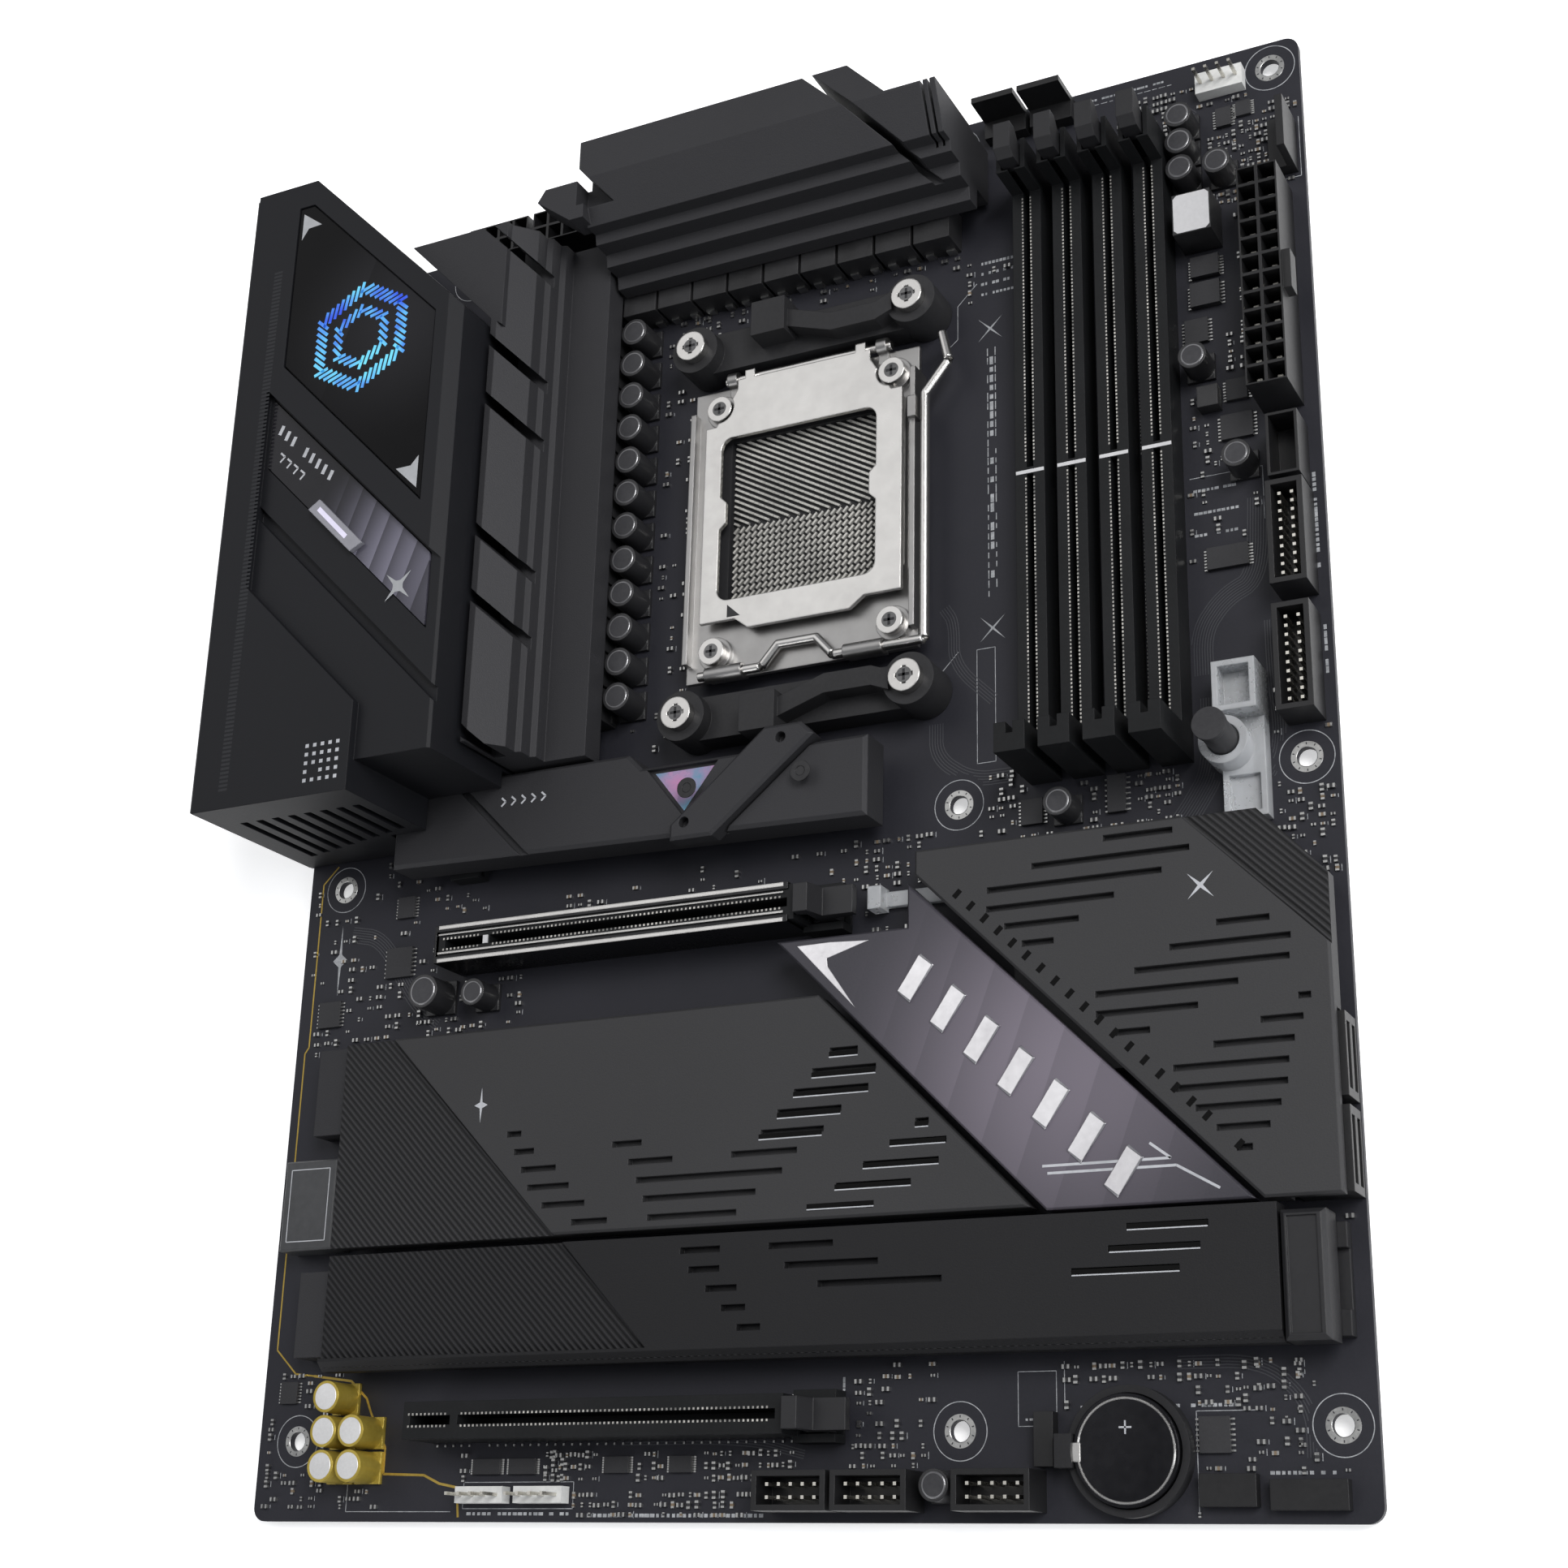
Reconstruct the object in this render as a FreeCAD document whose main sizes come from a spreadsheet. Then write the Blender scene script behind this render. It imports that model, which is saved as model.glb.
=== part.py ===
import FreeCAD, Part
import os
import Sketcher

# Desktop motherboard, full ATX outline, as an assembly of its separate pieces.
# Board coordinates: X runs from the rear connector edge, Y from the lower edge, Z up from the
# component side of the board. Every sub-part's Placement then moves it into the part's frame,
# whose origin is the middle of the whole part's footprint at its lowest point.

doc = FreeCAD.newDocument("motherboard")
sheet = doc.addObject("Spreadsheet::Sheet", "sizes")
named = []
kept = []


class Size:
    """A length: its value in mm, and the expression that ties a property to the sheet."""

    def __init__(self, value, text):
        self.value = value
        self.text = text

    def __add__(self, other):
        return Size(value_of(self) + value_of(other), "(%s + %s)" % (self.text, text_of(other)))

    def __radd__(self, other):
        return self + other

    def __sub__(self, other):
        return Size(value_of(self) - value_of(other), "(%s - %s)" % (self.text, text_of(other)))

    def __rsub__(self, other):
        return Size(value_of(other) - self.value, "(%s - %s)" % (text_of(other), self.text))

    def __mul__(self, factor):
        return Size(self.value * value_of(factor), "(%s * %s)" % (self.text, text_of(factor)))

    def __rmul__(self, factor):
        return self * factor

    def __truediv__(self, divisor):
        return Size(self.value / value_of(divisor), "(%s / %s)" % (self.text, text_of(divisor)))

    def __neg__(self):
        return Size(-self.value, "(0 - %s)" % self.text)


def value_of(length):
    return length.value if isinstance(length, Size) else float(length)


def text_of(length):
    return length.text if isinstance(length, Size) else "(%.6f)" % length


def cell(alias, value):
    """One driving dimension on the sheet."""
    named.append(alias)
    row = len(named)
    sheet.set("A%d" % row, alias)
    sheet.set("B%d" % row, str(value))
    sheet.setAlias("B%d" % row, alias)
    return Size(float(value), "sizes." + alias)


def bind(item, field, length):
    item.setExpression(field, text_of(length))


def put(item, x, y, z):
    """Tie an object's place to the sheet."""
    bind(item, "Placement.Base.x", x)
    bind(item, "Placement.Base.y", y)
    bind(item, "Placement.Base.z", z)
    return item


def block(x0, y0, z0, x1, y1, z1):
    """A box between two corners."""
    item = doc.addObject("Part::Box", "Block")
    bind(item, "Length", x1 - x0 if isinstance(x1, Size) else Size(x1, text_of(x1)) - x0)
    bind(item, "Width", y1 - y0 if isinstance(y1, Size) else Size(y1, text_of(y1)) - y0)
    bind(item, "Height", z1 - z0 if isinstance(z1, Size) else Size(z1, text_of(z1)) - z0)
    return put(item, x0, y0, z0)


def post(x, y, z0, z1, radius):
    """A round post standing along Z."""
    item = doc.addObject("Part::Cylinder", "Post")
    bind(item, "Radius", radius)
    bind(item, "Height", z1 - z0 if isinstance(z1, Size) else Size(z1, text_of(z1)) - z0)
    return put(item, x, y, z0)


def rod_along_x(x0, x1, y, z, radius):
    item = doc.addObject("Part::Cylinder", "Rod")
    bind(item, "Radius", radius)
    bind(item, "Height", x1 - x0 if isinstance(x1, Size) else Size(x1, text_of(x1)) - x0)
    item.Placement = FreeCAD.Placement(FreeCAD.Vector(), FreeCAD.Rotation(FreeCAD.Vector(0, 1, 0), 90))
    return put(item, x0, y, z)


def rod_along_y(x, y0, y1, z, radius):
    item = doc.addObject("Part::Cylinder", "Rod")
    bind(item, "Radius", radius)
    bind(item, "Height", y1 - y0 if isinstance(y1, Size) else Size(y1, text_of(y1)) - y0)
    item.Placement = FreeCAD.Placement(FreeCAD.Vector(), FreeCAD.Rotation(FreeCAD.Vector(1, 0, 0), -90))
    return put(item, x, y0, z)


def group(items):
    """Separate solids that share one node, or one tool."""
    item = doc.addObject("Part::Compound", "Group")
    item.Links = items
    return item


def fuse(items):
    item = doc.addObject("Part::MultiFuse", "Fusion")
    item.Shapes = items
    return item


def cut(base, tools):
    item = doc.addObject("Part::Cut", "Cut")
    item.Base = base
    item.Tool = tools[0] if len(tools) == 1 else fuse(tools)
    return item


def origin_plane(body, role):
    return [item for item in body.Origin.OriginFeatures if item.Role == role][0]


def outline(body, role, loops, start):
    """A sketch of closed loops of straight lines on an origin plane, moved start along its normal.

    Each corner is held by its two distances from the origin, so that it follows the sheet.
    """
    sketch = body.newObject("Sketcher::SketchObject", "Outline")
    sketch.AttachmentSupport = (origin_plane(body, role), [""])
    sketch.MapMode = "FlatFace"
    bind(sketch, "AttachmentOffset.Base.z", start)
    first = 0
    for loop in loops:
        count = len(loop)
        corners = [FreeCAD.Vector(value_of(a), value_of(b), 0) for a, b in loop]
        for i in range(count):
            sketch.addGeometry(Part.LineSegment(corners[i], corners[(i + 1) % count]), False)
        for i in range(count):
            follower = first + (i + 1) % count
            sketch.addConstraint(Sketcher.Constraint("Coincident", first + i, 2, follower, 1))
        for i, (a, b) in enumerate(loop):
            for kind, length in (("DistanceX", a), ("DistanceY", b)):
                held = Sketcher.Constraint(kind, -1, 1, first + i, 1, value_of(length))
                number = sketch.addConstraint(held)
                if isinstance(length, Size):
                    sketch.setExpression("Constraints[%d]" % number, length.text)
        first += count
    return sketch


def circles(body, role, spots, radius, start):
    """A sketch of equal circles."""
    sketch = body.newObject("Sketcher::SketchObject", "Circles")
    sketch.AttachmentSupport = (origin_plane(body, role), [""])
    sketch.MapMode = "FlatFace"
    bind(sketch, "AttachmentOffset.Base.z", start)
    for i, (a, b) in enumerate(spots):
        centre = FreeCAD.Vector(value_of(a), value_of(b), 0)
        sketch.addGeometry(Part.Circle(centre, FreeCAD.Vector(0, 0, 1), value_of(radius)), False)
        for kind, length in (("DistanceX", a), ("DistanceY", b)):
            number = sketch.addConstraint(Sketcher.Constraint(kind, -1, 1, i, 3, value_of(length)))
            sketch.setExpression("Constraints[%d]" % number, text_of(length))
        number = sketch.addConstraint(Sketcher.Constraint("Radius", i, value_of(radius)))
        sketch.setExpression("Constraints[%d]" % number, text_of(radius))
    return sketch


def pad(body, sketch, length):
    item = body.newObject("PartDesign::Pad", "Pad")
    item.Profile = sketch
    bind(item, "Length", length)
    return item


def pocket(body, sketch, length):
    """A cut from the sketch against its normal; checked to take material away."""
    doc.recompute()
    before = body.Shape.Volume
    item = body.newObject("PartDesign::Pocket", "Pocket")
    item.Profile = sketch
    bind(item, "Length", length)
    doc.recompute()
    if not body.Shape.Volume < before - 1e-6:
        raise RuntimeError("a pocket cut nothing in " + body.Name)
    return item


def plate(loops, z0, z1):
    """A body padded straight up from z0 to z1."""
    body = doc.addObject("PartDesign::Body", "Body")
    pad(body, outline(body, "XY_Plane", loops, z0), z1 - z0)
    return body


def profile_along_x(loop, x0, x1):
    """A body whose (y, z) section runs from x0 to x1."""
    body = doc.addObject("PartDesign::Body", "Body")
    pad(body, outline(body, "YZ_Plane", [loop], x0), x1 - x0)
    return body


def profile_along_y(loop, y0, y1):
    """A body whose (x, z) section runs from y0 to y1."""
    body = doc.addObject("PartDesign::Body", "Body")
    pad(body, outline(body, "XZ_Plane", [loop], -y1), y1 - y0)
    return body


def edge_names(shape, wanted):
    return ["Edge%d" % (i + 1) for i, edge in enumerate(shape.Edges) if wanted(edge)]


def upright(edge):
    a, b = edge.Vertexes[0].Point, edge.Vertexes[-1].Point
    return len(edge.Vertexes) == 2 and abs(a.x - b.x) < 1e-6 and abs(a.y - b.y) < 1e-6


def at_height(z):
    def wanted(edge):
        return all(abs(v.Point.z - value_of(z)) < 1e-6 for v in edge.Vertexes)
    return wanted


def soften(body, kind, wanted, size):
    """A PartDesign fillet or chamfer on the edges that wanted picks."""
    doc.recompute()
    base = body.Tip
    item = body.newObject("PartDesign::" + kind, kind)
    item.Base = (base, edge_names(base.Shape, wanted))
    bind(item, "Radius" if kind == "Fillet" else "Size", size)
    return item


def rectangle(x0, y0, x1, y1):
    return [(x0, y0), (x1, y0), (x1, y1), (x0, y1)]


def keep(item, label):
    """Name a finished sub-part; its Placement is tied to the part's frame at the end."""
    item.Label = label
    kept.append(item)
    return item


# ---- Driving dimensions of the board -------------------------------------------------------
board_width = cell("board_width", 243.84)
board_length = cell("board_length", 304.8)
board_thick = cell("board_thick", 1.6)
board_corner = cell("board_corner", 3.0)
gap = cell("assembly_gap", 0.3)
running = cell("running_clearance", 0.05)

# Mounting holes of the ATX outline, from the rear edge and the lower edge.
mount_radius = cell("mount_hole_radius", 1.98)
hole_left = cell("hole_left", 10.16)
hole_centre = cell("hole_centre", 165.1)
hole_right = cell("hole_right", 237.49)
hole_rear_top = cell("hole_rear_top", 33.02)
hole_low = cell("hole_low", 16.51)
hole_middle = cell("hole_middle", 140.97)
hole_high = board_length - cell("hole_from_top", 6.35)
under = -board_thick

# Processor socket: its centre, and the cooler's screw pattern around it.
socket_x = cell("socket_x", 130.9)
socket_y = board_length - cell("socket_from_top", 93.2)
cooler_x = cell("cooler_span_x", 54.0)
cooler_y = cell("cooler_span_y", 90.0)
boss_radius = cell("cooler_boss_radius", 3.2)
boss_gap = cell("boss_gap", 0.1)
clamp_x = cell("clamp_screw_span_x", 42.8)
clamp_y = cell("clamp_screw_span_y", 59.6)
clamp_shank = cell("clamp_screw_radius", 1.4)
cooler_spots = [(socket_x + i * cooler_x / 2, socket_y + j * cooler_y / 2) for i in (-1, 1) for j in (-1, 1)]
clamp_spots = [(socket_x + i * clamp_x / 2, socket_y + j * clamp_y / 2) for i in (-1, 1) for j in (-1, 1)]

# The upper drive heatsink lies partly below the rear cover, so both read its size.
drive_top = cell("drive_sink_top", 13.0)
drive_west = cell("drive_sink_west", 32.4)
drive_high = board_length - cell("drive_sink_high_from_top", 146.6)

# ---- Circuit board: glass-epoxy plate with its mounting and socket holes --------------------
board = plate([rectangle(0, 0, board_width, board_length)], under, Size(0, "0"))
soften(board, "Fillet", upright, board_corner)
mount_spots = [(x, y) for y in (hole_low, hole_middle) for x in (hole_left, hole_centre, hole_right)]
mount_spots += [(x, hole_high) for x in (hole_rear_top, hole_centre, hole_right)]
pocket(board, circles(board, "XY_Plane", mount_spots, mount_radius, 0), board_thick * 2)
pocket(board, circles(board, "XY_Plane", cooler_spots, boss_radius + boss_gap, 0), board_thick * 2)
pocket(board, circles(board, "XY_Plane", clamp_spots, clamp_shank + boss_gap, 0), board_thick * 2)
keep(board, "circuit_board")

# ---- Backplate under the socket: a stamped steel plate with four threaded bosses ------------
backplate_thick = cell("backplate_thick", 2.2)
backplate_rim = cell("backplate_rim", 6.5)
backplate_window = cell("backplate_window", 26.0)
thread_radius = cell("cooler_thread_radius", 1.7)
lowest = under - backplate_thick
back_x = cooler_x / 2 + backplate_rim
back_y = cooler_y / 2 + backplate_rim
backplate = plate([rectangle(socket_x - back_x, socket_y - back_y, socket_x + back_x, socket_y + back_y)],
                  lowest, under)
soften(backplate, "Fillet", upright, backplate_rim * 0.8)
hollow = rectangle(socket_x - backplate_window / 2, socket_y - backplate_window / 2,
                   socket_x + backplate_window / 2, socket_y + backplate_window / 2)
pocket(backplate, outline(backplate, "XY_Plane", [hollow], 0), board_thick + backplate_thick * 2)
bosses = [post(x, y, under - backplate_thick / 2, 0, boss_radius) for x, y in cooler_spots]
threads = [post(x, y, lowest - 1, 1, thread_radius) for x, y in cooler_spots]
threads += [post(x, y, lowest - 1, 1, clamp_shank + running) for x, y in clamp_spots]
keep(cut(fuse([backplate] + bosses), threads), "cpu_backplate")

# ---- Socket housing: moulded frame around the contact field ---------------------------------
housing_x = cell("socket_housing_x", 44.0)
housing_y = cell("socket_housing_y", 47.0)
housing_high = cell("socket_housing_height", 4.2)
field_x = cell("contact_field_x", 39.0)
field_y = cell("contact_field_y", 41.0)
field_floor = cell("contact_field_floor", 2.6)
field_shift = cell("contact_field_shift", 1.7)
field_mid = socket_y + field_shift
housing = plate([rectangle(socket_x - housing_x / 2, field_mid - housing_y / 2,
                           socket_x + housing_x / 2, field_mid + housing_y / 2)], Size(0, "0"), housing_high)
soften(housing, "Fillet", upright, housing_high * 0.3)
field = rectangle(socket_x - field_x / 2, field_mid - field_y / 2, socket_x + field_x / 2, field_mid + field_y / 2)
pocket(housing, outline(housing, "XY_Plane", [field], housing_high), housing_high - field_floor)
keep(housing, "socket_body")

# ---- Socket frame: pressed steel ring with side flanges, screw seats and hinge ears ---------
frame_left = socket_x - cell("frame_reach_left", 29.0)
frame_right = socket_x + cell("frame_reach_right", 26.8)
frame_low = socket_y - cell("frame_reach_low", 35.6)
frame_high = socket_y + cell("frame_reach_high", 36.0)
frame_z = cell("frame_top", 4.4)
frame_thick = cell("frame_thick", 1.2)
flange_top = cell("frame_flange_top", 6.8)
seat_radius = cell("screw_seat_radius", 3.9)
seat_top = cell("screw_seat_top", 5.6)
ring_floor = frame_z - frame_thick
ring = plate([rectangle(frame_left, frame_low, frame_right, frame_high)], ring_floor, frame_z)
inner = rectangle(socket_x - housing_x / 2 - gap, field_mid - housing_y / 2 - gap,
                  socket_x + housing_x / 2 + gap, field_mid + housing_y / 2 + gap)
pocket(ring, outline(ring, "XY_Plane", [inner], frame_z), frame_thick * 2)
flanges = [block(frame_left, frame_low + 4, 0.4, frame_left + frame_thick, frame_high - 6, flange_top),
           block(frame_right - frame_thick, frame_low + 4, 0.4, frame_right, frame_high - 6, flange_top)]
seats = [post(x, y, 0.4, seat_top, seat_radius) for x, y in clamp_spots]

# The load plate turns on a straight pin held in two ears at the frame's top edge.
wire = cell("lever_wire_radius", 1.05)
pin_radius = cell("plate_pin_radius", 1.0)
ear_reach = cell("hinge_ear_reach", 18.6)
ear_wide = cell("hinge_ear_width", 2.4)
hinge_y = frame_high + cell("hinge_beyond_frame", 1.2)
hinge_z = cell("hinge_height", 5.4)
ear_radius = pin_radius + cell("hinge_ear_wall", 0.9)
ears = []
for side in (-1, 1):
    ear_x = socket_x + side * ear_reach - ear_wide / 2
    ears.append(rod_along_x(ear_x, ear_x + ear_wide, hinge_y, hinge_z, ear_radius))
    ears.append(block(ear_x, frame_high - 3, ring_floor, ear_x + ear_wide, hinge_y, hinge_z))

# The lever's cross wire lies in two curled knuckles at the frame's lower edge.
lever_y = frame_low + cell("lever_above_frame_low", 0.7)
lever_z = flange_top - cell("lever_below_flange", 0.9)
knuckle_radius = wire + cell("knuckle_wall", 0.7)
knuckle_wide = cell("knuckle_width", 9.0)
knuckles = []
for knuckle_x in (socket_x - 23.0, socket_x + 10.5):
    knuckles.append(rod_along_x(knuckle_x, knuckle_x + knuckle_wide, lever_y, lever_z, knuckle_radius))
    knuckles.append(block(knuckle_x, lever_y - wire, ring_floor, knuckle_x + knuckle_wide, lever_y + wire, lever_z))
bores = [rod_along_x(frame_left, frame_right + 2, lever_y, lever_z, wire + running),
         rod_along_x(socket_x - ear_reach - 4, socket_x + ear_reach + 4, hinge_y, hinge_z, pin_radius + running)]
bores += [post(x, y, 0, seat_top + 1, clamp_shank + boss_gap) for x, y in clamp_spots]

# A bulge on the right flange stands beside the closed lever's arm.
arm_x = frame_right + wire + cell("arm_clearance", 1.0)
hook_y = socket_y + cell("lever_hook_y", 17.0)
hook_long = cell("lever_hook_length", 5.0)
hook = [block(frame_right - frame_thick, hook_y, flange_top - 2, arm_x - wire - gap, hook_y + hook_long,
              lever_z + wire + 1.2)]
keep(cut(fuse([ring] + flanges + seats + ears + knuckles + hook), bores), "socket_frame")

# ---- Load plate: pressed steel cover with a window, turning on its pin ----------------------
cover_z = seat_top + cell("load_plate_clearance", 0.7)
cover_thick = cell("load_plate_thick", 1.1)
cover_left = socket_x - cell("load_plate_reach_left", 24.6)
cover_right = socket_x + cell("load_plate_reach_right", 24.0)
cover_low = socket_y - cell("load_plate_reach_low", 22.9)
cover_high = frame_high + cell("load_plate_above_frame", 0.2)
tongue_y = cover_low - cell("tongue_reach", 2.6)
window_low = socket_y - cell("window_reach_low", 18.2)
window_high = socket_y + cell("window_reach_high", 21.9)
window_half = cell("window_half_width", 19.2)
notch = cell("window_notch", 1.6)
notch_low = socket_y - cell("notch_reach_low", 0.8)
notch_high = socket_y + cell("notch_reach_high", 7.4)
corner_cut = cell("load_plate_corner_cut", 7.8)
corner_rise = cell("load_plate_corner_rise", 11.0)
window_x = socket_x - 1.3
skin = [(cover_left, cover_low), (cover_left + 8.6, cover_low), (cover_left + 12.0, tongue_y),
        (cover_right - 12.0, tongue_y), (cover_right - 8.6, cover_low), (cover_right, cover_low),
        (cover_right, cover_high - corner_rise), (cover_right - 2.6, cover_high - corner_rise),
        (cover_right - corner_cut, cover_high - 2.4), (cover_right - corner_cut, cover_high),
        (cover_left + corner_cut, cover_high), (cover_left + corner_cut, cover_high - 2.4),
        (cover_left + 2.6, cover_high - corner_rise), (cover_left, cover_high - corner_rise)]
opening = [(window_x - window_half, window_low), (window_x + window_half, window_low),
           (window_x + window_half, notch_low), (window_x + window_half - notch, notch_low + notch),
           (window_x + window_half - notch, notch_high - notch), (window_x + window_half, notch_high),
           (window_x + window_half, window_high), (window_x - window_half, window_high),
           (window_x - window_half, notch_high), (window_x - window_half + notch, notch_high - notch),
           (window_x - window_half + notch, notch_low + notch), (window_x - window_half, notch_low)]
cover = plate([skin, opening], cover_z, cover_z + cover_thick)
head_radius = cell("clamp_head_radius", 3.1)
head_room = head_radius + cell("clamp_head_clearance", 0.6)
pocket(cover, circles(cover, "XY_Plane", [spot for spot in clamp_spots if spot[1].value > socket_y.value], head_room,
                      cover_z + cover_thick), cover_thick * 2)
window_corners = [value_of(window_low), value_of(window_high)]


def at_window_corner(edge):
    spot = edge.Vertexes[0].Point
    across = abs(abs(spot.x - value_of(window_x)) - value_of(window_half)) < 1e-6
    return upright(edge) and across and any(abs(spot.y - y) < 1e-6 for y in window_corners)


soften(cover, "Fillet", at_window_corner, cell("window_corner_radius", 2.8))
arms = []
for side in (-1, 1):
    arm_low = socket_x + side * (ear_reach - ear_wide * 2) - ear_wide / 2
    arms.append(block(arm_low, cover_high - 2, cover_z, arm_low + ear_wide, hinge_y, cover_z + cover_thick))
    arms.append(block(arm_low, hinge_y - pin_radius, hinge_z, arm_low + ear_wide, hinge_y + pin_radius,
                      cover_z + cover_thick))
hinge_pin = rod_along_x(socket_x - ear_reach - 2, socket_x + ear_reach + 2, hinge_y, hinge_z, pin_radius)
side_roll = block(cover_right - cover_thick, cover_low + 6, flange_top - 1.4, cover_right,
                  cover_high - corner_rise - 2, cover_z + cover_thick)
keep(fuse([cover, hinge_pin, side_roll] + arms), "socket_load_plate")

# ---- Load lever: one bent spring wire, a cross run with a crank, a long arm and a handle ----
lever = doc.addObject("PartDesign::Body", "Body")
route = [(socket_x - 25.0, lever_y), (socket_x - 9.6, lever_y), (socket_x - 5.6, lever_y + 4.6),
         (socket_x + 3.6, lever_y + 4.6), (socket_x + 7.6, lever_y), (arm_x, lever_y),
         (arm_x, hook_y + hook_long + 1.0), (arm_x + 5.6, hook_y + hook_long + 8.0),
         (arm_x + 4.0, hook_y + hook_long + 15.0)]
path = lever.newObject("Sketcher::SketchObject", "Route")
path.AttachmentSupport = (origin_plane(lever, "XY_Plane"), [""])
path.MapMode = "FlatFace"
bind(path, "AttachmentOffset.Base.z", lever_z)
for (ax, ay), (bx, by) in zip(route, route[1:]):
    path.addGeometry(Part.LineSegment(FreeCAD.Vector(value_of(ax), value_of(ay), 0),
                                      FreeCAD.Vector(value_of(bx), value_of(by), 0)), False)
for i in range(len(route) - 2):
    path.addConstraint(Sketcher.Constraint("Coincident", i, 2, i + 1, 1))
for i, spot in enumerate(route):
    segment, end = (i, 1) if i < len(route) - 1 else (i - 1, 2)
    for kind, length in zip(("DistanceX", "DistanceY"), spot):
        number = path.addConstraint(Sketcher.Constraint(kind, -1, 1, segment, end, value_of(length)))
        path.setExpression("Constraints[%d]" % number, length.text)
section = circles(lever, "YZ_Plane", [(lever_y, lever_z)], wire, route[0][0])
doc.recompute()
bent = lever.newObject("PartDesign::AdditivePipe", "Wire")
bent.Profile = section
bent.Spine = (path, ["Edge%d" % (i + 1) for i in range(len(route) - 1)])
bent.Transition = "Round corner"
keep(lever, "socket_load_lever")

# ---- Four clamp screws with a star recess, from the frame into the backplate -----------------
head_high = cell("clamp_head_height", 1.9)
recess = cell("star_recess_radius", 1.25)
screws = []
for x, y in clamp_spots:
    screw = fuse([post(x, y, seat_top, seat_top + head_high, head_radius),
                  post(x, y, lowest + 0.6, seat_top, clamp_shank)])
    screws.append(cut(screw, [post(x, y, seat_top + head_high * 0.4, seat_top + head_high + 1, recess)]))
keep(group(screws), "socket_screws")

# ---- Cooler brackets: two moulded bars with a raised hook block in the middle ----------------
bar_high = cell("bracket_bar_height", 6.4)
bar_half = cell("bracket_bar_half_width", 5.0)
lug_high = cell("bracket_lug_height", 10.0)
lug_radius = cell("bracket_lug_radius", 5.8)
rib_half = cell("bracket_rib_half_width", 2.2)
rib_sag = cell("bracket_rib_sag", 1.6)
rib_high = cell("bracket_rib_height", 11.0)
hook_half = cell("bracket_hook_half_width", 4.2)
hook_reach = cell("bracket_hook_reach", 7.0)
hook_high = cell("bracket_hook_height", 12.6)
shank = cell("bracket_screw_radius", 1.6)
pan_radius = cell("bracket_head_radius", 3.6)
brackets = []
for side in (1, -1):
    y = socket_y + side * cooler_y / 2
    left, right = socket_x - cooler_x / 2, socket_x + cooler_x / 2
    pieces = [block(left, y - bar_half, 0.2, right, y + bar_half, bar_high)]
    pieces += [post(x, y, 0.2, lug_high, lug_radius) for x in (left, right)]
    wave = doc.addObject("PartDesign::Body", "Body")
    sagged = y - side * rib_sag
    rib_end = right - pan_radius - 0.5
    low_side = [(rib_end, y - rib_half), (rib_end - 4, sagged - rib_half), (socket_x + 8, sagged - rib_half),
                (socket_x - 4, y + side * 2.4 - rib_half)]
    high_side = [(socket_x - 4, y + side * 2.4 + rib_half), (socket_x + 8, sagged + rib_half),
                 (rib_end - 4, sagged + rib_half), (rib_end, y + rib_half)]
    pad(wave, outline(wave, "XY_Plane", [low_side + high_side], bar_high - 1), rib_high - bar_high + 1)
    pieces.append(wave)
    tower_x = socket_x - 7.0
    near, far = sorted((y - side * 1.5, y + side * hook_reach), key=value_of)
    pieces.append(block(tower_x - hook_half, near, 0.2, tower_x + hook_half, far, hook_high))
    bore = [post(x, y, -1, lug_high + 1, shank + boss_gap) for x in (left, right)]
    bore += [post(x, y, -1, bar_high * 0.3, boss_radius + gap) for x in (left, right)]
    brackets.append(cut(fuse(pieces), bore))
keep(group(brackets), "cooler_brackets")

# ---- Bracket screws: pan head with a cross recess, into the backplate's bosses ---------------
pan_high = cell("bracket_head_height", 2.2)
cross = cell("cross_recess_half_width", 0.45)
screws = []
for x, y in cooler_spots:
    head = fuse([post(x, y, lug_high, lug_high + pan_high, pan_radius), post(x, y, lowest + 0.4, lug_high, shank)])
    top = lug_high + pan_high
    tools = [block(x - pan_radius * 0.55, y - cross, top - 1.1, x + pan_radius * 0.55, y + cross, top + 1),
             block(x - cross, y - pan_radius * 0.55, top - 1.1, x + cross, y + pan_radius * 0.55, top + 1)]
    screws.append(cut(head, tools))
keep(group(screws), "cooler_bracket_screws")

# ---- Memory slots: a grooved housing, a fixed lower post and a latch tower at the top --------
dimm_first = cell("memory_first_x", 184.3)
dimm_pitch = cell("memory_pitch", 9.2)
dimm_half = cell("memory_half_width", 3.25)
dimm_low = board_length - cell("memory_low_from_top", 161.8)
dimm_key = board_length - cell("memory_key_from_top", 94.6)
dimm_high = board_length - cell("memory_high_from_top", 19.6)
dimm_rail = cell("memory_rail_height", 7.2)
tower_high = cell("memory_tower_height", 20.6)
tower_long = cell("memory_tower_length", 7.4)
post_long = cell("memory_post_length", 6.2)
groove_half = cell("memory_groove_half_width", 0.75)
groove_deep = cell("memory_groove_depth", 5.0)
key_half = cell("memory_key_half_length", 0.8)
latch_half = cell("memory_latch_half_width", 1.9)
latch_room = cell("memory_latch_side_clearance", 0.3)
pivot_y = dimm_high - cell("memory_pivot_from_end", 3.0)
pivot_z = cell("memory_pivot_height", 3.2)
pivot_radius = cell("memory_pivot_radius", 0.8)
thumb_reach = cell("memory_thumb_reach", 2.2)
memory_slots = []
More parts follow.
